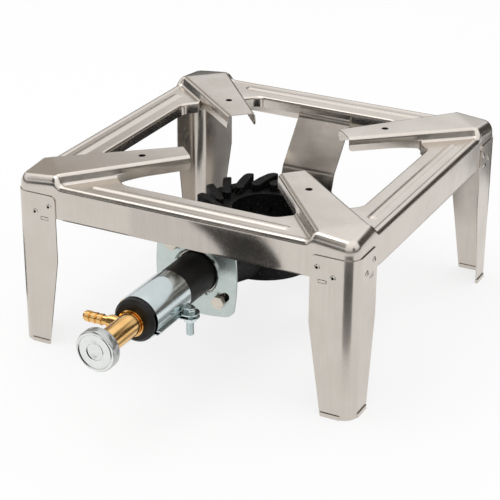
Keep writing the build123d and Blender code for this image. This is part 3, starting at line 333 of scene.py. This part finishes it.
def flank(s):
    """Offsets from the arm's edge and the shares of its rise there, from the flat top down to the rail."""
    free = min(max((s - steeper_from) / steeper_over, 0), 1)
    free = free * free * (3 - 2 * free)
    slope, foot_angle = math.radians(foot_slope + (tip_slope - foot_slope) * free), math.radians(foot_slope)
    rise = arm_top - rail_top
    across, drop = [0.0], [0.0]
    for k in range(1, flank_steps + 1):
        a = slope * k / flank_steps
        across.append(flank_top_radius * math.sin(a))
        drop.append(flank_top_radius * (1 - math.cos(a)))
    run = rise - flank_foot_radius * (1 - math.cos(foot_angle)) - drop[-1]
    across.append(across[-1] + run / math.tan(slope))
    drop.append(drop[-1] + run)
    for k in range(1, foot_steps + 1):
        a = foot_angle * (1 - k / foot_steps)
        across.append(across[wall_line] + flank_foot_radius * (math.sin(foot_angle) - math.sin(a)))
        drop.append(rise - flank_foot_radius * (1 - math.cos(a)))
    start = -flank_top_radius * math.sin(slope) - root_inset * (1 - free)
    return [start + a for a in across], [1 - d / rise for d in drop]


def top_height(s):
    """The arm's top: flat, then falling to the corner beyond a soft crease."""
    into = crease_start - s
    if into <= 0:
        return arm_top
    if into < crease_soft:
        return arm_top - crease_drop * into ** 2 / (2 * crease_soft)
    return arm_top - crease_drop * (into - crease_soft / 2)


def height(x, y):
    """The pressed sheet's height at a point, and the share of the arm's rise in it."""
    s, t = (2 * frame_half - x - y) / root2, abs(y - x) / root2
    offsets, shares = flank(s)
    share = float(np.interp(t - arm_half(s), offsets, shares))
    z = rail_top + (top_height(s) - rail_top) * share
    away = math.hypot(max(x - rib_end, 0), y - rib_middle)
    return z + float(np.interp(away, rib_offsets, rib_heights)), share


def line_point(s, line):
    """The place on one of the flank's lines at a distance along the arm."""
    return at(s, arm_half(s) + flank(s)[0][line])


def outer_end(line):
    """How far along the arm a line of the flank meets the outer fold's start, found by halving."""
    low, high = 20.0, 70.0
    for _ in range(50):
        s = (low + high) / 2
        if line_point(s, line)[1] > flat_edge:
            low = s
        else:
            high = s
    return low


# where points lie along the arm: beside the rail, free of it, and in the crease
rail_s = [50, 56, 62, 68, 74, 80, 86, 92, 98, junction]
free_s = [109, 115, 122, 130, 140, 150, 160, 170, 180, 186, 187.6, 188.8, 189.6, arm_reach]
crease_s = [46, 43.3, 40.7, 38]

half_turn = [math.radians(22.5 * k) for k in range(9)]
corner_turn = [math.radians(11.25 * k) for k in range(5)]
outer = [(x, flat_edge) for x in (0, 25, 50, 75, 100, 120, 134)]
outer += [line_point(outer_end(k), k) for k in range(foot_line, -1, -1)]
outer += [(x, flat_edge) for x in (163, 170, 178)]
outer += [(corner_centre + corner_arc * math.sin(a), corner_centre + corner_arc * math.cos(a)) for a in corner_turn]

straight, arc_step, arc_count = (0, 25, 50, 70), 7.5, 7   # the opening's edge: points along the rail, then its round
arc_radius = opening_radius + flange_fold
arc_y = opening_half - opening_radius
arc_x = opening_diagonal - arc_y - opening_radius * root2
inner = [(x, opening_half + flange_fold) for x in straight]
for k in range(arc_count):
    a = math.radians(arc_step * k)
    inner.append((arc_x + arc_radius * math.sin(a), arc_y + arc_radius * math.cos(a)))
inner += [at(junction, diagonal_end)]
octagon_count = len(inner)
inner += [line_point(junction, k) for k in range(foot_line, wall_line - 1, -1)]
climb_count = len(inner)
inner += [line_point(s, wall_line) for s in free_s]

tip = [line_point(arm_reach, k) for k in range(wall_line - 1, -1, -1)] + [at(arm_reach, 0)]
hole = [at(hole_s + hole_radius * math.cos(a), hole_radius * math.sin(a)) for a in half_turn]
middle = [at(s, 0) for s in crease_s]
rib_cuts = [(0, rib_middle + d) for d in rib_offsets[::-1] + [-d for d in rib_offsets[1:]]]
outline = inner + tip + hole + middle + outer[::-1] + rib_cuts

points, lines = list(outline), []


def draw(polyline):
    """Adds points that the flat sheet's triangles keep, with the lines between them."""
    first = len(points)
    points.extend(polyline)
    lines.extend((first + i, first + i + 1) for i in range(len(polyline) - 1))


for k in range(foot_line + 1):
    start = outer_end(k)
    places = [start] + [s for s in sorted(set(rail_s + crease_s[:3])) if s > start + line_gap]
    if k < wall_line:
        places += free_s
    draw([line_point(s, k) for s in places])
draw([line_point(s, wall_line) for s in free_s])
for s in crease_s[:3]:
    draw([at(s, 0), at(s, crease_bend), line_point(s, 0)])
last_s = crease_s[-1]
draw([at(last_s, 0), at(last_s, crease_bend), (2 * frame_half - root2 * last_s - flat_edge, flat_edge)])
draw([(0, rib_middle), (rib_end, rib_middle)])
for d in rib_offsets[1:]:
    end = [(rib_end + d * math.sin(a), rib_middle + d * math.cos(a)) for a in half_turn]
    draw([(x, rib_middle + d) for x in (0, 40, 80)] + end + [(x, rib_middle - d) for x in (80, 40, 0)])

inside_outline = 1          # the kind of result that keeps the triangles inside the outline
flat, _, triangles, *_ = delaunay_2d_cdt(
    [Vector(p) for p in points], lines, [list(range(len(outline)))], inside_outline, weld)
corners = [(p.x, p.y, height(p.x, p.y)[0]) for p in flat]
faces = [tuple(f) for f in triangles]


def bridge(rows):
    """Adds rows of points, and joins each row to the next with four-sided faces."""
    first, width = len(corners), len(rows[0])
    for row in rows:
        corners.extend(row)
    for j in range(len(rows) - 1):
        for i in range(width - 1):
            a = first + j * width + i
            faces.append((a, a + 1, a + width + 1, a + width))


def fold_down(base, out, radius, fall, bottom, steps, foot):
    """A strip that folds down from a line of points, radius out and fall down, and runs to its bottom. foot is a
    list of (share of the wall's height, function that gives how far out a point lies there)."""
    rows = []
    for k in range(steps + 1):
        a = math.pi / 2 * k / steps
        rows.append([
            (x + nx * r * math.sin(a), y + ny * r * math.sin(a), z - f * (1 - math.cos(a)))
            for (x, y, z), (nx, ny), r, f in zip(base, out, radius, fall)
        ])
    last = rows[-1]
    for share, offset in foot:
        rows.append([
            (x + nx * o, y + ny * o, z + (b - z) * share)
            for (x, y, z), (nx, ny), b, o in zip(last, out, bottom, [offset(p) for p in last])
        ])
    bridge(rows)


def plumb(p):
    """Straight down."""
    return 0


def flare(p):
    """The skirt's lower edge turns out a little between the legs."""
    return flare_out * min(max((flare_end - p[0]) / flare_fade, 0), 1)


# outer skirt: a low bead, then a fold that is tighter along the rails than round the arms' corners
base = [(x, y, height(x, y)[0]) for x, y in outer]
out = [(0, 1) if x < corner_centre else ((x - corner_centre) / corner_arc, (y - corner_centre) / corner_arc)
       for x, y in outer]
on_arm = [height(x, y)[1] for x, y in outer]
radius = [rail_fold + (arm_fold - rail_fold) * share for share in on_arm]
bead = []
for share, lift in ((0, 0), (0.15, 0.04), (0.6, 0.8), (0.85, 1), (1, 1)):   # of the way out, and of the bead's rise
    bead.append([
        (x + nx * (fold_start - r) * share, y + ny * (fold_start - r) * share, z + bead_rise * lift * (1 - arm))
        for (x, y, z), (nx, ny), r, arm in zip(base, out, radius, on_arm)
    ])
bridge(bead)
fall = [rail_fold + (arm_fold_drop - rail_fold) * share for share in on_arm]
fold_down(bead[-1], out, radius, fall, [skirt_bottom] * len(base), steps=8,
          foot=[(0.5, plumb), (0.93, plumb), (0.97, lambda p: flare(p) * 0.5), (1, flare)])

# a collar drawn down round the arm's hole
bridge([[(x, y, arm_top - drop) for x, y in hole] for drop in (0, 0.5, collar)])

# inner flange round the opening, then up the arm's flank and along it to the tip
down_s, down_t = (-1 / root2, -1 / root2), (-1 / root2, 1 / root2)
edge_lift = arm_flange_bottom - flange_bottom - flank_lift   # of the flange's edge along the free arm
quick_share, quick_run, slow_run = 0.55, 5, 30               # it rises fast, then slowly
fold_fade, least_fold, tip_radius = 8, 0.05, 4               # its fold fades out, and its tip is round
out, radius, bottom = [], [], []
for i, (x, y) in enumerate(inner):
    if i < octagon_count:
        turn = math.radians(arc_step * min(max(i - len(straight), 0), arc_count - 1))
        out.append((-math.sin(turn), -math.cos(turn)))
        radius.append(flange_fold)
        bottom.append(flange_bottom)
    elif i < climb_count:
        share = (i - octagon_count) / (climb_count - octagon_count - 1)
        mixed = Vector(down_s).lerp(Vector(down_t), share * 0.5).normalized()
        out.append((mixed.x, mixed.y))
        radius.append(flange_fold + (flank_fold - flange_fold) * share)
        bottom.append(flange_bottom + flank_lift * share)
    else:
        s = (2 * frame_half - x - y) / root2
        past = s - junction
        gone = quick_share * min(past / quick_run, 1) + (1 - quick_share) * min(past / slow_run, 1)
        tip_lift = tip_radius - math.sqrt(max(tip_radius ** 2 - max(s - (arm_reach - tip_radius), 0) ** 2, 0))
        out.append(down_t)
        radius.append(flank_fold * max(1 - past / fold_fade, 0) + least_fold)
        bottom.append(flange_bottom + flank_lift + edge_lift * gone + tip_lift)
base = [(x, y, height(x, y)[0]) for x, y in inner]
fold_down(base, out, radius, radius, bottom, steps=4, foot=[(0.5, plumb), (1, plumb)])

mesh = bpy.data.meshes.new("pressed_frame")
copies, joined = [], []
for turn in range(4):
    cosine, sine = math.cos(turn * math.pi / 2), math.sin(turn * math.pi / 2)
    for mirrored in (1, -1):
        start = len(copies)
        copies.extend(
            (mm * (cosine * mirrored * x - sine * y), mm * (sine * mirrored * x + cosine * y), mm * z)
            for x, y, z in corners)
        # the mirrored half of a side meets the next side on the other diagonal
        joined.extend(tuple(start + i for i in (f if mirrored < 0 else f[::-1])) for f in faces)
mesh.from_pydata(copies, [], joined)
pressed = bpy.data.objects.new("pressed_frame", mesh)
bpy.context.collection.objects.link(pressed)
shaped = bmesh.new()
shaped.from_mesh(mesh)
bmesh.ops.remove_doubles(shaped, verts=shaped.verts, dist=weld * mm)
bmesh.ops.dissolve_degenerate(shaped, edges=shaped.edges, dist=weld / 4 * mm)
bmesh.ops.recalc_face_normals(shaped, faces=shaped.faces)
up = sum(f.normal.z * f.calc_area() for f in shaped.faces)
if up < 0:
    bmesh.ops.reverse_faces(shaped, faces=shaped.faces)
shaped.to_mesh(mesh)
shaped.free()
outside = [(v.co.copy(), v.normal.copy()) for v in mesh.vertices]
wall = pressed.modifiers.new("wall", "SOLIDIFY")
wall.thickness, wall.offset, wall.use_even_offset = sheet * mm, -1, True
bpy.context.view_layer.objects.active = pressed
pressed.select_set(True)
bpy.ops.object.modifier_apply(modifier="wall")
# where the flange's end folds back on itself, the even wall would run away to a spike
for (place, normal), inside in zip(outside, mesh.vertices[len(outside):]):
    if (inside.co - place).length > 3 * sheet * mm:
        inside.co = place - normal * sheet * mm
bpy.ops.object.shade_smooth_by_angle(angle=math.radians(34))
weighted = pressed.modifiers.new("weighted", "WEIGHTED_NORMAL")
weighted.keep_sharp = True
bpy.ops.object.modifier_apply(modifier="weighted")

# a tongue below the skirt hooks out through each leg wing's slot
tongue_along, tongue_width, tongue_height, tongue_reach = 164.3, 9.0, 3.4, 2.5
for turn in range(4):
    for side in (-1, 1):
        spot = Vector((side * tongue_along, frame_half - sheet + tongue_reach / 2, skirt_bottom - tongue_height / 2))
        spot = Matrix.Rotation(turn * math.pi / 2, 3, "Z") @ spot
        size = (tongue_width, tongue_reach, tongue_height)
        if turn % 2:
            size = (tongue_reach, tongue_width, tongue_height)
        bpy.ops.mesh.primitive_cube_add(size=mm, location=spot * mm, scale=size)
        bpy.ops.object.transform_apply(location=True, rotation=True, scale=True)
        bpy.ops.object.mode_set(mode="EDIT")
        bpy.ops.mesh.select_all(action="SELECT")
        bpy.ops.mesh.bevel(offset=0.5 * mm, segments=2, affect="EDGES")
        bpy.ops.object.mode_set(mode="OBJECT")
        bpy.ops.object.shade_smooth_by_angle(angle=math.radians(30))
        pressed.select_set(True)
        bpy.context.view_layer.objects.active = pressed
        bpy.ops.object.join()

# the collars of the arms' holes get the black paint inside, below their bright lips: painted shade in the holes
mesh.materials.append(finish["stainless"])
mesh.materials.append(finish["black_metal"])
lip, margin = 0.3, 0.1
for face in mesh.polygons:
    spot = Vector((abs(face.center.x), abs(face.center.y))) / mm - Vector((hole_spacing / 2, hole_spacing / 2))
    if spot.length < hole_radius + sheet + margin and face.center.z < (arm_top - lip) * mm:
        face.material_index = 1
bpy.ops.object.select_all(action="DESELECT")
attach(pressed, "stove")
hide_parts("top_frame")


# ---------------------------------------------------------------- turned and bolted pieces
def pick(piece, wanted):
    """Selects, in edit mode, only the vertices whose place in millimetres is wanted."""
    bpy.context.tool_settings.mesh_select_mode = (True, False, False)
    bpy.ops.mesh.select_all(action="DESELECT")
    bpy.ops.object.mode_set(mode="OBJECT")
    for vertex in piece.data.vertices:
        vertex.select = wanted(vertex.co / mm)
    bpy.ops.object.mode_set(mode="EDIT")


def turned(name, start, axis, profile, sides):
    """A piece turned about an axis: its end face is pulled out and sized from station to station. The profile is a
    list of (distance, radius)."""
    axis = Vector(axis)
    bpy.ops.object.select_all(action="DESELECT")
    place = (Vector(start) + axis * profile[0][0]) * mm
    bpy.ops.mesh.primitive_circle_add(
        vertices=sides, radius=profile[0][1] * mm, fill_type="NGON", location=place,
        rotation=axis.to_track_quat("Z", "Y").to_euler(),
    )
    piece = bpy.context.object
    piece.name = name
    bpy.ops.object.transform_apply(location=True, rotation=True, scale=True)
    bpy.ops.object.mode_set(mode="EDIT")
    bpy.ops.mesh.select_all(action="SELECT")
    for (before, was), (distance, radius) in zip(profile, profile[1:]):
        bpy.ops.mesh.extrude_region_move(TRANSFORM_OT_translate={"value": axis * (distance - before) * mm})
        if radius != was:
            centre = (Vector(start) + axis * distance) * mm
            bpy.ops.transform.resize(value=(radius / was,) * 3, center_override=centre)
    bpy.ops.mesh.select_all(action="SELECT")
    bpy.ops.mesh.normals_make_consistent(inside=False)
    bpy.ops.object.mode_set(mode="OBJECT")
    bpy.ops.object.shade_smooth_by_angle(angle=math.radians(30))
    return piece


def stands_for(piece, node, body, slot, material=None):
    """Gives a piece its finish, and puts it on its body in a CAD node's place."""
    piece.data.materials.append(material or finish[slot])
    bpy.ops.object.select_all(action="DESELECT")
    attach(piece, body)
    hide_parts(node)


def cut(piece, cutter):
    """Takes a cutting body away from a piece."""
    bpy.ops.object.select_all(action="DESELECT")
    bpy.context.view_layer.objects.active = piece
    piece.select_set(True)
    boolean = piece.modifiers.new("cut", "BOOLEAN")
    boolean.object, boolean.operation, boolean.solver = cutter, "DIFFERENCE", "EXACT"
    bpy.ops.object.modifier_apply(modifier="cut")
    bpy.data.objects.remove(cutter)


# hand wheel: turned rim, a fine groove inside it, a flat field, and a ring round a shallow centre
wheel_back, wheel_front, groove = 349.3, 363.8, 0.8
wheel = turned("hand_wheel_disc", (0, 0, train_height), (0, -1, 0), [
    (wheel_back, 0.5), (wheel_back, 9), (wheel_back + 2.5, 9), (wheel_back + 2.5, 20.6), (wheel_back + 3, 21.4),
    (wheel_back + 4.2, 22), (wheel_front - 2.2, 22), (wheel_front - 1, 21.6), (wheel_front - 0.3, 20.8),
    (wheel_front, 19.8), (wheel_front, 18.9), (wheel_front - groove, 18.6), (wheel_front - groove, 18.1),
    (wheel_front - 0.4, 17.7), (wheel_front - 0.4, 11), (wheel_front - 0.2, 10.6), (wheel_front - 0.2, 9.6),
    (wheel_front - 1, 9.3), (wheel_front - 1, 8.9), (wheel_front - 0.7, 8.5), (wheel_front - 0.8, 6.5),
    (wheel_front - 1.5, 5.2), (wheel_front - 1.6, 0.5),
], 96)
grub_place, grub_drop, grub_radius, grub_length = 357.8, 16, 2.1, 20
bpy.ops.mesh.primitive_cylinder_add(
    vertices=32, radius=grub_radius * mm, depth=grub_length * mm,
    location=(0, -grub_place * mm, (train_height - grub_drop) * mm))
cut(wheel, bpy.context.object)
stands_for(wheel, "knob", "hand_wheel", "wheel_metal")

# hose barb: collar, stem and three long ridges with narrow grooves between them
barb_y, barb_end, stem_end, ridge_pitch = -302.3, 50.35, 28.6, 7.25
root_radius, bore_radius, bore_floor = 4.5, 2.7, 20
barb = [(11, 1), (11, 5), (19, 5), (19, 6.3), (19.4, 6.8), (21.6, 6.8), (22, 6.3), (22, 4.9), (stem_end, 4.9)]
for ridge in range(3):
    crest = stem_end + ridge_pitch * ridge
    barb += [(crest, 5.7), (crest + 0.3, 6), (crest + 4.9, 5.6), (crest + 5.3, 5.2),
             (crest + 5.9, root_radius), (crest + ridge_pitch, root_radius)]
barb = barb[:-1] + [(barb_end - 0.3, root_radius), (barb_end, 4.2), (barb_end, bore_radius),
                    (bore_floor, bore_radius), (bore_floor, 1)]
tail = turned("hose_tail_turned", (0, barb_y, train_height), (-1, 0, 0), barb, 48)
stands_for(tail, "hose_barb", "stove", "brass")

# clamp screw: hexagon head with a turned-off top, and a thread cut as rings
screw_x, screw_y, ear_top = 31.2, -232.0, 101.34
pitch, crest_radius, thread_root = 1.25, 3.9, 3.45
head_radius, head_height, head_turn = 6.4, 5, 0.3
thread = [(0, crest_radius)]
for ring in range(20):
    down = pitch * ring
    thread += [(0.3 + down, crest_radius), (0.6 + down, thread_root), (0.9 + down, thread_root),
               (1.2 + down, crest_radius)]
thread += [(25.6, 3.7), (26, 3.2)]
screw = turned("clamp_screw_threaded", (screw_x, screw_y, ear_top), (0, 0, -1), thread, 32)
bpy.ops.mesh.primitive_cylinder_add(
    vertices=6, radius=head_radius * mm, depth=head_height * mm, rotation=(0, 0, head_turn),
    location=(screw_x * mm, screw_y * mm, (ear_top + head_height / 2) * mm))
head = bpy.context.object
bpy.ops.object.transform_apply(location=True, rotation=True, scale=True)
bpy.ops.object.mode_set(mode="EDIT")
pick(head, lambda p: p.z > ear_top + head_height - 1)
bpy.ops.mesh.bevel(offset=1.1 * mm, segments=2, affect="EDGES")
bpy.ops.object.mode_set(mode="OBJECT")
bpy.ops.object.shade_smooth_by_angle(angle=math.radians(20))
screw.select_set(True)
bpy.context.view_layer.objects.active = screw
bpy.ops.object.join()
stands_for(screw, "clamp_screw", "air_shutter", "zinc")

# flange plate: the same plate, pressed flat round the tube
plate_node = nodes["flange_plate"]
plate = bpy.data.objects.new("flange_plate_flat", plate_node.data.copy())
plate.matrix_world = plate_node.matrix_world
bpy.context.collection.objects.link(plate)
bpy.ops.object.select_all(action="DESELECT")
bpy.context.view_layer.objects.active = plate
plate.select_set(True)
bpy.ops.object.transform_apply(location=True, rotation=True, scale=True)
bpy.ops.object.mode_set(mode="EDIT")
bpy.ops.mesh.select_all(action="SELECT")
bpy.ops.mesh.remove_doubles(threshold=weld / 4 * mm)
dish_radius, dish_depth = 25.4, 2
pick(plate, lambda p: math.hypot(p.x, p.z - train_height) < dish_radius)
bpy.ops.transform.translate(value=(0, dish_depth * mm, 0))
bpy.ops.object.mode_set(mode="OBJECT")
plate.data.materials.clear()
bpy.ops.object.shade_smooth_by_angle(angle=math.radians(30))
stands_for(plate, "flange_plate", "stove", "zinc", dull_zinc())

# finishes of their own for two nodes, and edges that wear has rounded on six
nodes["flange_bolts"].data.materials[0] = plain_bolt_steel()
nodes["leg_rivets"].data.materials[0] = rivet_steel()
for name in ("front_left_leg", "front_right_leg", "rear_left_leg", "rear_right_leg", "flange_bolts", "valve_body"):
    worn = nodes[name].modifiers.new("worn_edges", "BEVEL")
    worn.width, worn.segments, worn.harden_normals = 0.3 * mm, 2, True
    worn.limit_method, worn.angle_limit = "ANGLE", math.radians(40)

# ---------------------------------------------------------------- floor, light and camera
bpy.ops.mesh.primitive_plane_add(size=14, location=(0, 0, 0))
floor = bpy.context.object
floor.name = "floor"
material = bpy.data.materials.new("White_paper_sweep")
material.use_nodes = True
tree = material.node_tree
tree.nodes.clear()
paper = add(tree, "BsdfDiffuse", {"Color": linear("#fdfdfd")})
glow = add(tree, "Emission", {"Color": (1, 1, 1, 1), "Strength": 1.0})
# the more glow, the paler the shadows
lit = add(tree, "MixShader", {0: 0.76, 1: paper.outputs[0], 2: glow.outputs[0]})
add(tree, "OutputMaterial", {"Surface": lit.outputs[0]})
floor.data.materials.append(material)

world = bpy.data.worlds.new("studio")
bpy.context.scene.world = world
world.use_nodes = True
tree = world.node_tree
tree.nodes.clear()
ray = add(tree, "LightPath")
direction = add(tree, "TexCoord").outputs["Generated"]
split = add(tree, "SeparateXYZ", {0: direction})
# what metal mirrors: dark just above the floor, then walls of light that get paler with height
rise = add(tree, "ValToRGB", {0: split.outputs["Z"]})
ramp = rise.color_ramp
ramp.elements[0].position, ramp.elements[0].color = 0.03, linear("#1f1d1b")
ramp.elements[1].position, ramp.elements[1].color = 0.8, linear("#ffffff")
for position, tone in ((0.12, "#5b5956"), (0.2, "#cacac9"), (0.36, "#e3e4e5"), (0.64, "#efeff0")):
    ramp.elements.new(position).color = linear(tone)
walls = rise.outputs[0]
# round flags in it: a direction, and how many degrees from it the flag is full and faded out
for centre, full, faded, tone in (
    ((-0.41, -0.70, 0.58), 11, 17, "#35312e"),     # black, high in front
    ((-0.42, -0.90, 0.08), 11, 18, "#2b2926"),     # black, low in front
    ((-0.40, -0.42, 0.81), 11, 16, "#55504b"),     # dark grey above them, which the rear strap mirrors
    ((0.84, -0.44, 0.34), 9, 15, "#4a4641"),       # dark grey on the right, which the arms' flanks mirror
    ((0.46, 0.84, 0.24), 14, 30, "#443f3b"),       # dark grey, behind on the right
    ((-0.65, 0.62, 0.50), 13, 18.5, "#a09a94"),    # pale grey, behind on the left
):
    near = add(tree, "VectorMath", {0: direction, 1: Vector(centre).normalized()}, operation="DOT_PRODUCT")
    rim, core = math.cos(math.radians(faded)), math.cos(math.radians(full))
    spot = add(tree, "MapRange", {0: near.outputs["Value"], 1: rim, 2: core}, interpolation_type="SMOOTHSTEP")
    walls = add(tree, "Mix", {0: spot.outputs[0], 6: walls, 7: linear(tone)}, data_type="RGBA").outputs[2]
tent = add(tree, "Background", {"Color": walls, "Strength": 1.35})
even = add(tree, "Background", {"Color": (1, 1, 1, 1), "Strength": 0.9})
backdrop = add(tree, "Background", {"Color": (1, 1, 1, 1), "Strength": 1.0})
seen = add(tree, "MixShader", {0: ray.outputs["Is Glossy Ray"], 1: even.outputs[0], 2: tent.outputs[0]})
shown = add(tree, "MixShader", {0: ray.outputs["Is Camera Ray"], 1: seen.outputs[0], 2: backdrop.outputs[0]})
add(tree, "OutputWorld", {"Surface": shown.outputs[0]})

# a soft box of a metre square above the object
light = bpy.data.lights.new("soft_box_overhead", "AREA")
light.size, light.energy = 1.0, 5
soft_box = bpy.data.objects.new("soft_box_overhead", light)
bpy.context.collection.objects.link(soft_box)
soft_box.location = place = Vector((-0.5, -0.2, 1.9))
soft_box.rotation_euler = (Vector((0, 0, 0.15)) - place).to_track_quat("-Z", "Y").to_euler()


def even_card(name, strength):
    """A card of one even tone."""
    material = bpy.data.materials.new(name)
    material.use_nodes = True
    material.node_tree.nodes.clear()
    glow = add(material.node_tree, "Emission", {"Color": (1, 1, 1, 1), "Strength": strength})
    add(material.node_tree, "OutputMaterial", {"Surface": glow.outputs[0]})
    return material


def flag(name, material, outline):
    """A flat card that only polished metal mirrors. The outline is in millimetres."""
    mesh = bpy.data.meshes.new(name)
    mesh.from_pydata([Vector(p) * mm for p in outline], [], [tuple(range(len(outline)))])
    card = bpy.data.objects.new(name, mesh)
    bpy.context.collection.objects.link(card)
    mesh.materials.append(material)
    card.visible_camera = card.visible_diffuse = card.visible_shadow = False


def on_floor(*outline):
    """An outline that lies a millimetre above the floor."""
    return [(x, y, 1) for x, y in outline]


black, dark = even_card("Black_velvet_card", 0.02), even_card("Dark_card", 0.07)
dark_grey, grey = even_card("Dark_grey_card", 0.18), even_card("Grey_card", 0.3)
white = even_card("White_foam_board", 0.85)
# the near leg's corner mirrors these three: dark at its top, fading out half way down
flag("corner_card_near", grey, on_floor((160, -364), (148, -426), (394, -322), (342, -288)))
flag("corner_card_middle", dark_grey, on_floor((148, -426), (133, -500), (470, -371), (394, -322)))
flag("corner_card_far", dark, on_floor((133, -500), (100, -665), (400, -700), (675, -500), (470, -371)))
flag("rear_card", black, on_floor((-300, 230), (60, 230), (330, 520), (500, 900), (-500, 900)))
# painted shadow: a black card under the stove, which metal mirrors in place of the floor in the stove's shadow
flag("under_shadow_card", black, on_floor((-150, -195), (10, -195), (75, -30), (100, 60), (-40, 190), (-150, -60)))
flag("side_card", grey, on_floor(
    (100, -190), (165, -190), (215, -60), (240, -2), (280, 90), (200, 130), (132, -2), (102, -60)))
flag("left_card", dark_grey, on_floor((-190, 150), (-300, -190), (-450, -190), (-450, 100), (-225, 170)))
flag("far_card", black, on_floor((-600, 950), (900, 950), (3000, 6500), (-5000, 6500)))
# a leaf-shaped black flag and a white board stand close in front of the skirt, above the gas train
flag("leaf_flag", black, [(x, -227, z) for x, z in (
    (-8, 176), (18, 163), (34, 150), (42, 138), (70, 136), (108, 136), (104, 150), (92, 164), (76, 176))])
flag("white_board", white, [(x, -229, z) for x, z in ((-75, 178), (-75, 136), (75, 136), (75, 178))])

# the camera, fitted to the photograph's frame, arms, legs and holes
target = Vector((-27.23, 14.70, 56.34)) * mm
azimuth, elevation, roll, distance = math.radians(27.22), math.radians(25.04), math.radians(0.31), 1903.03 * mm
back = Vector((math.sin(azimuth) * math.cos(elevation), -math.cos(azimuth) * math.cos(elevation), math.sin(elevation)))
camera = bpy.data.objects.new("camera", bpy.data.cameras.new("camera"))
bpy.context.collection.objects.link(camera)
camera.data.lens, camera.data.sensor_width = 117.1, 36
camera.data.clip_end = 50
camera.location = target + back * distance
camera.rotation_euler = ((-back).to_track_quat("-Z", "Y").to_matrix() @ Matrix.Rotation(roll, 3, "Z")).to_euler()
bpy.context.scene.camera = camera
bpy.context.scene.view_settings.view_transform = "Standard"
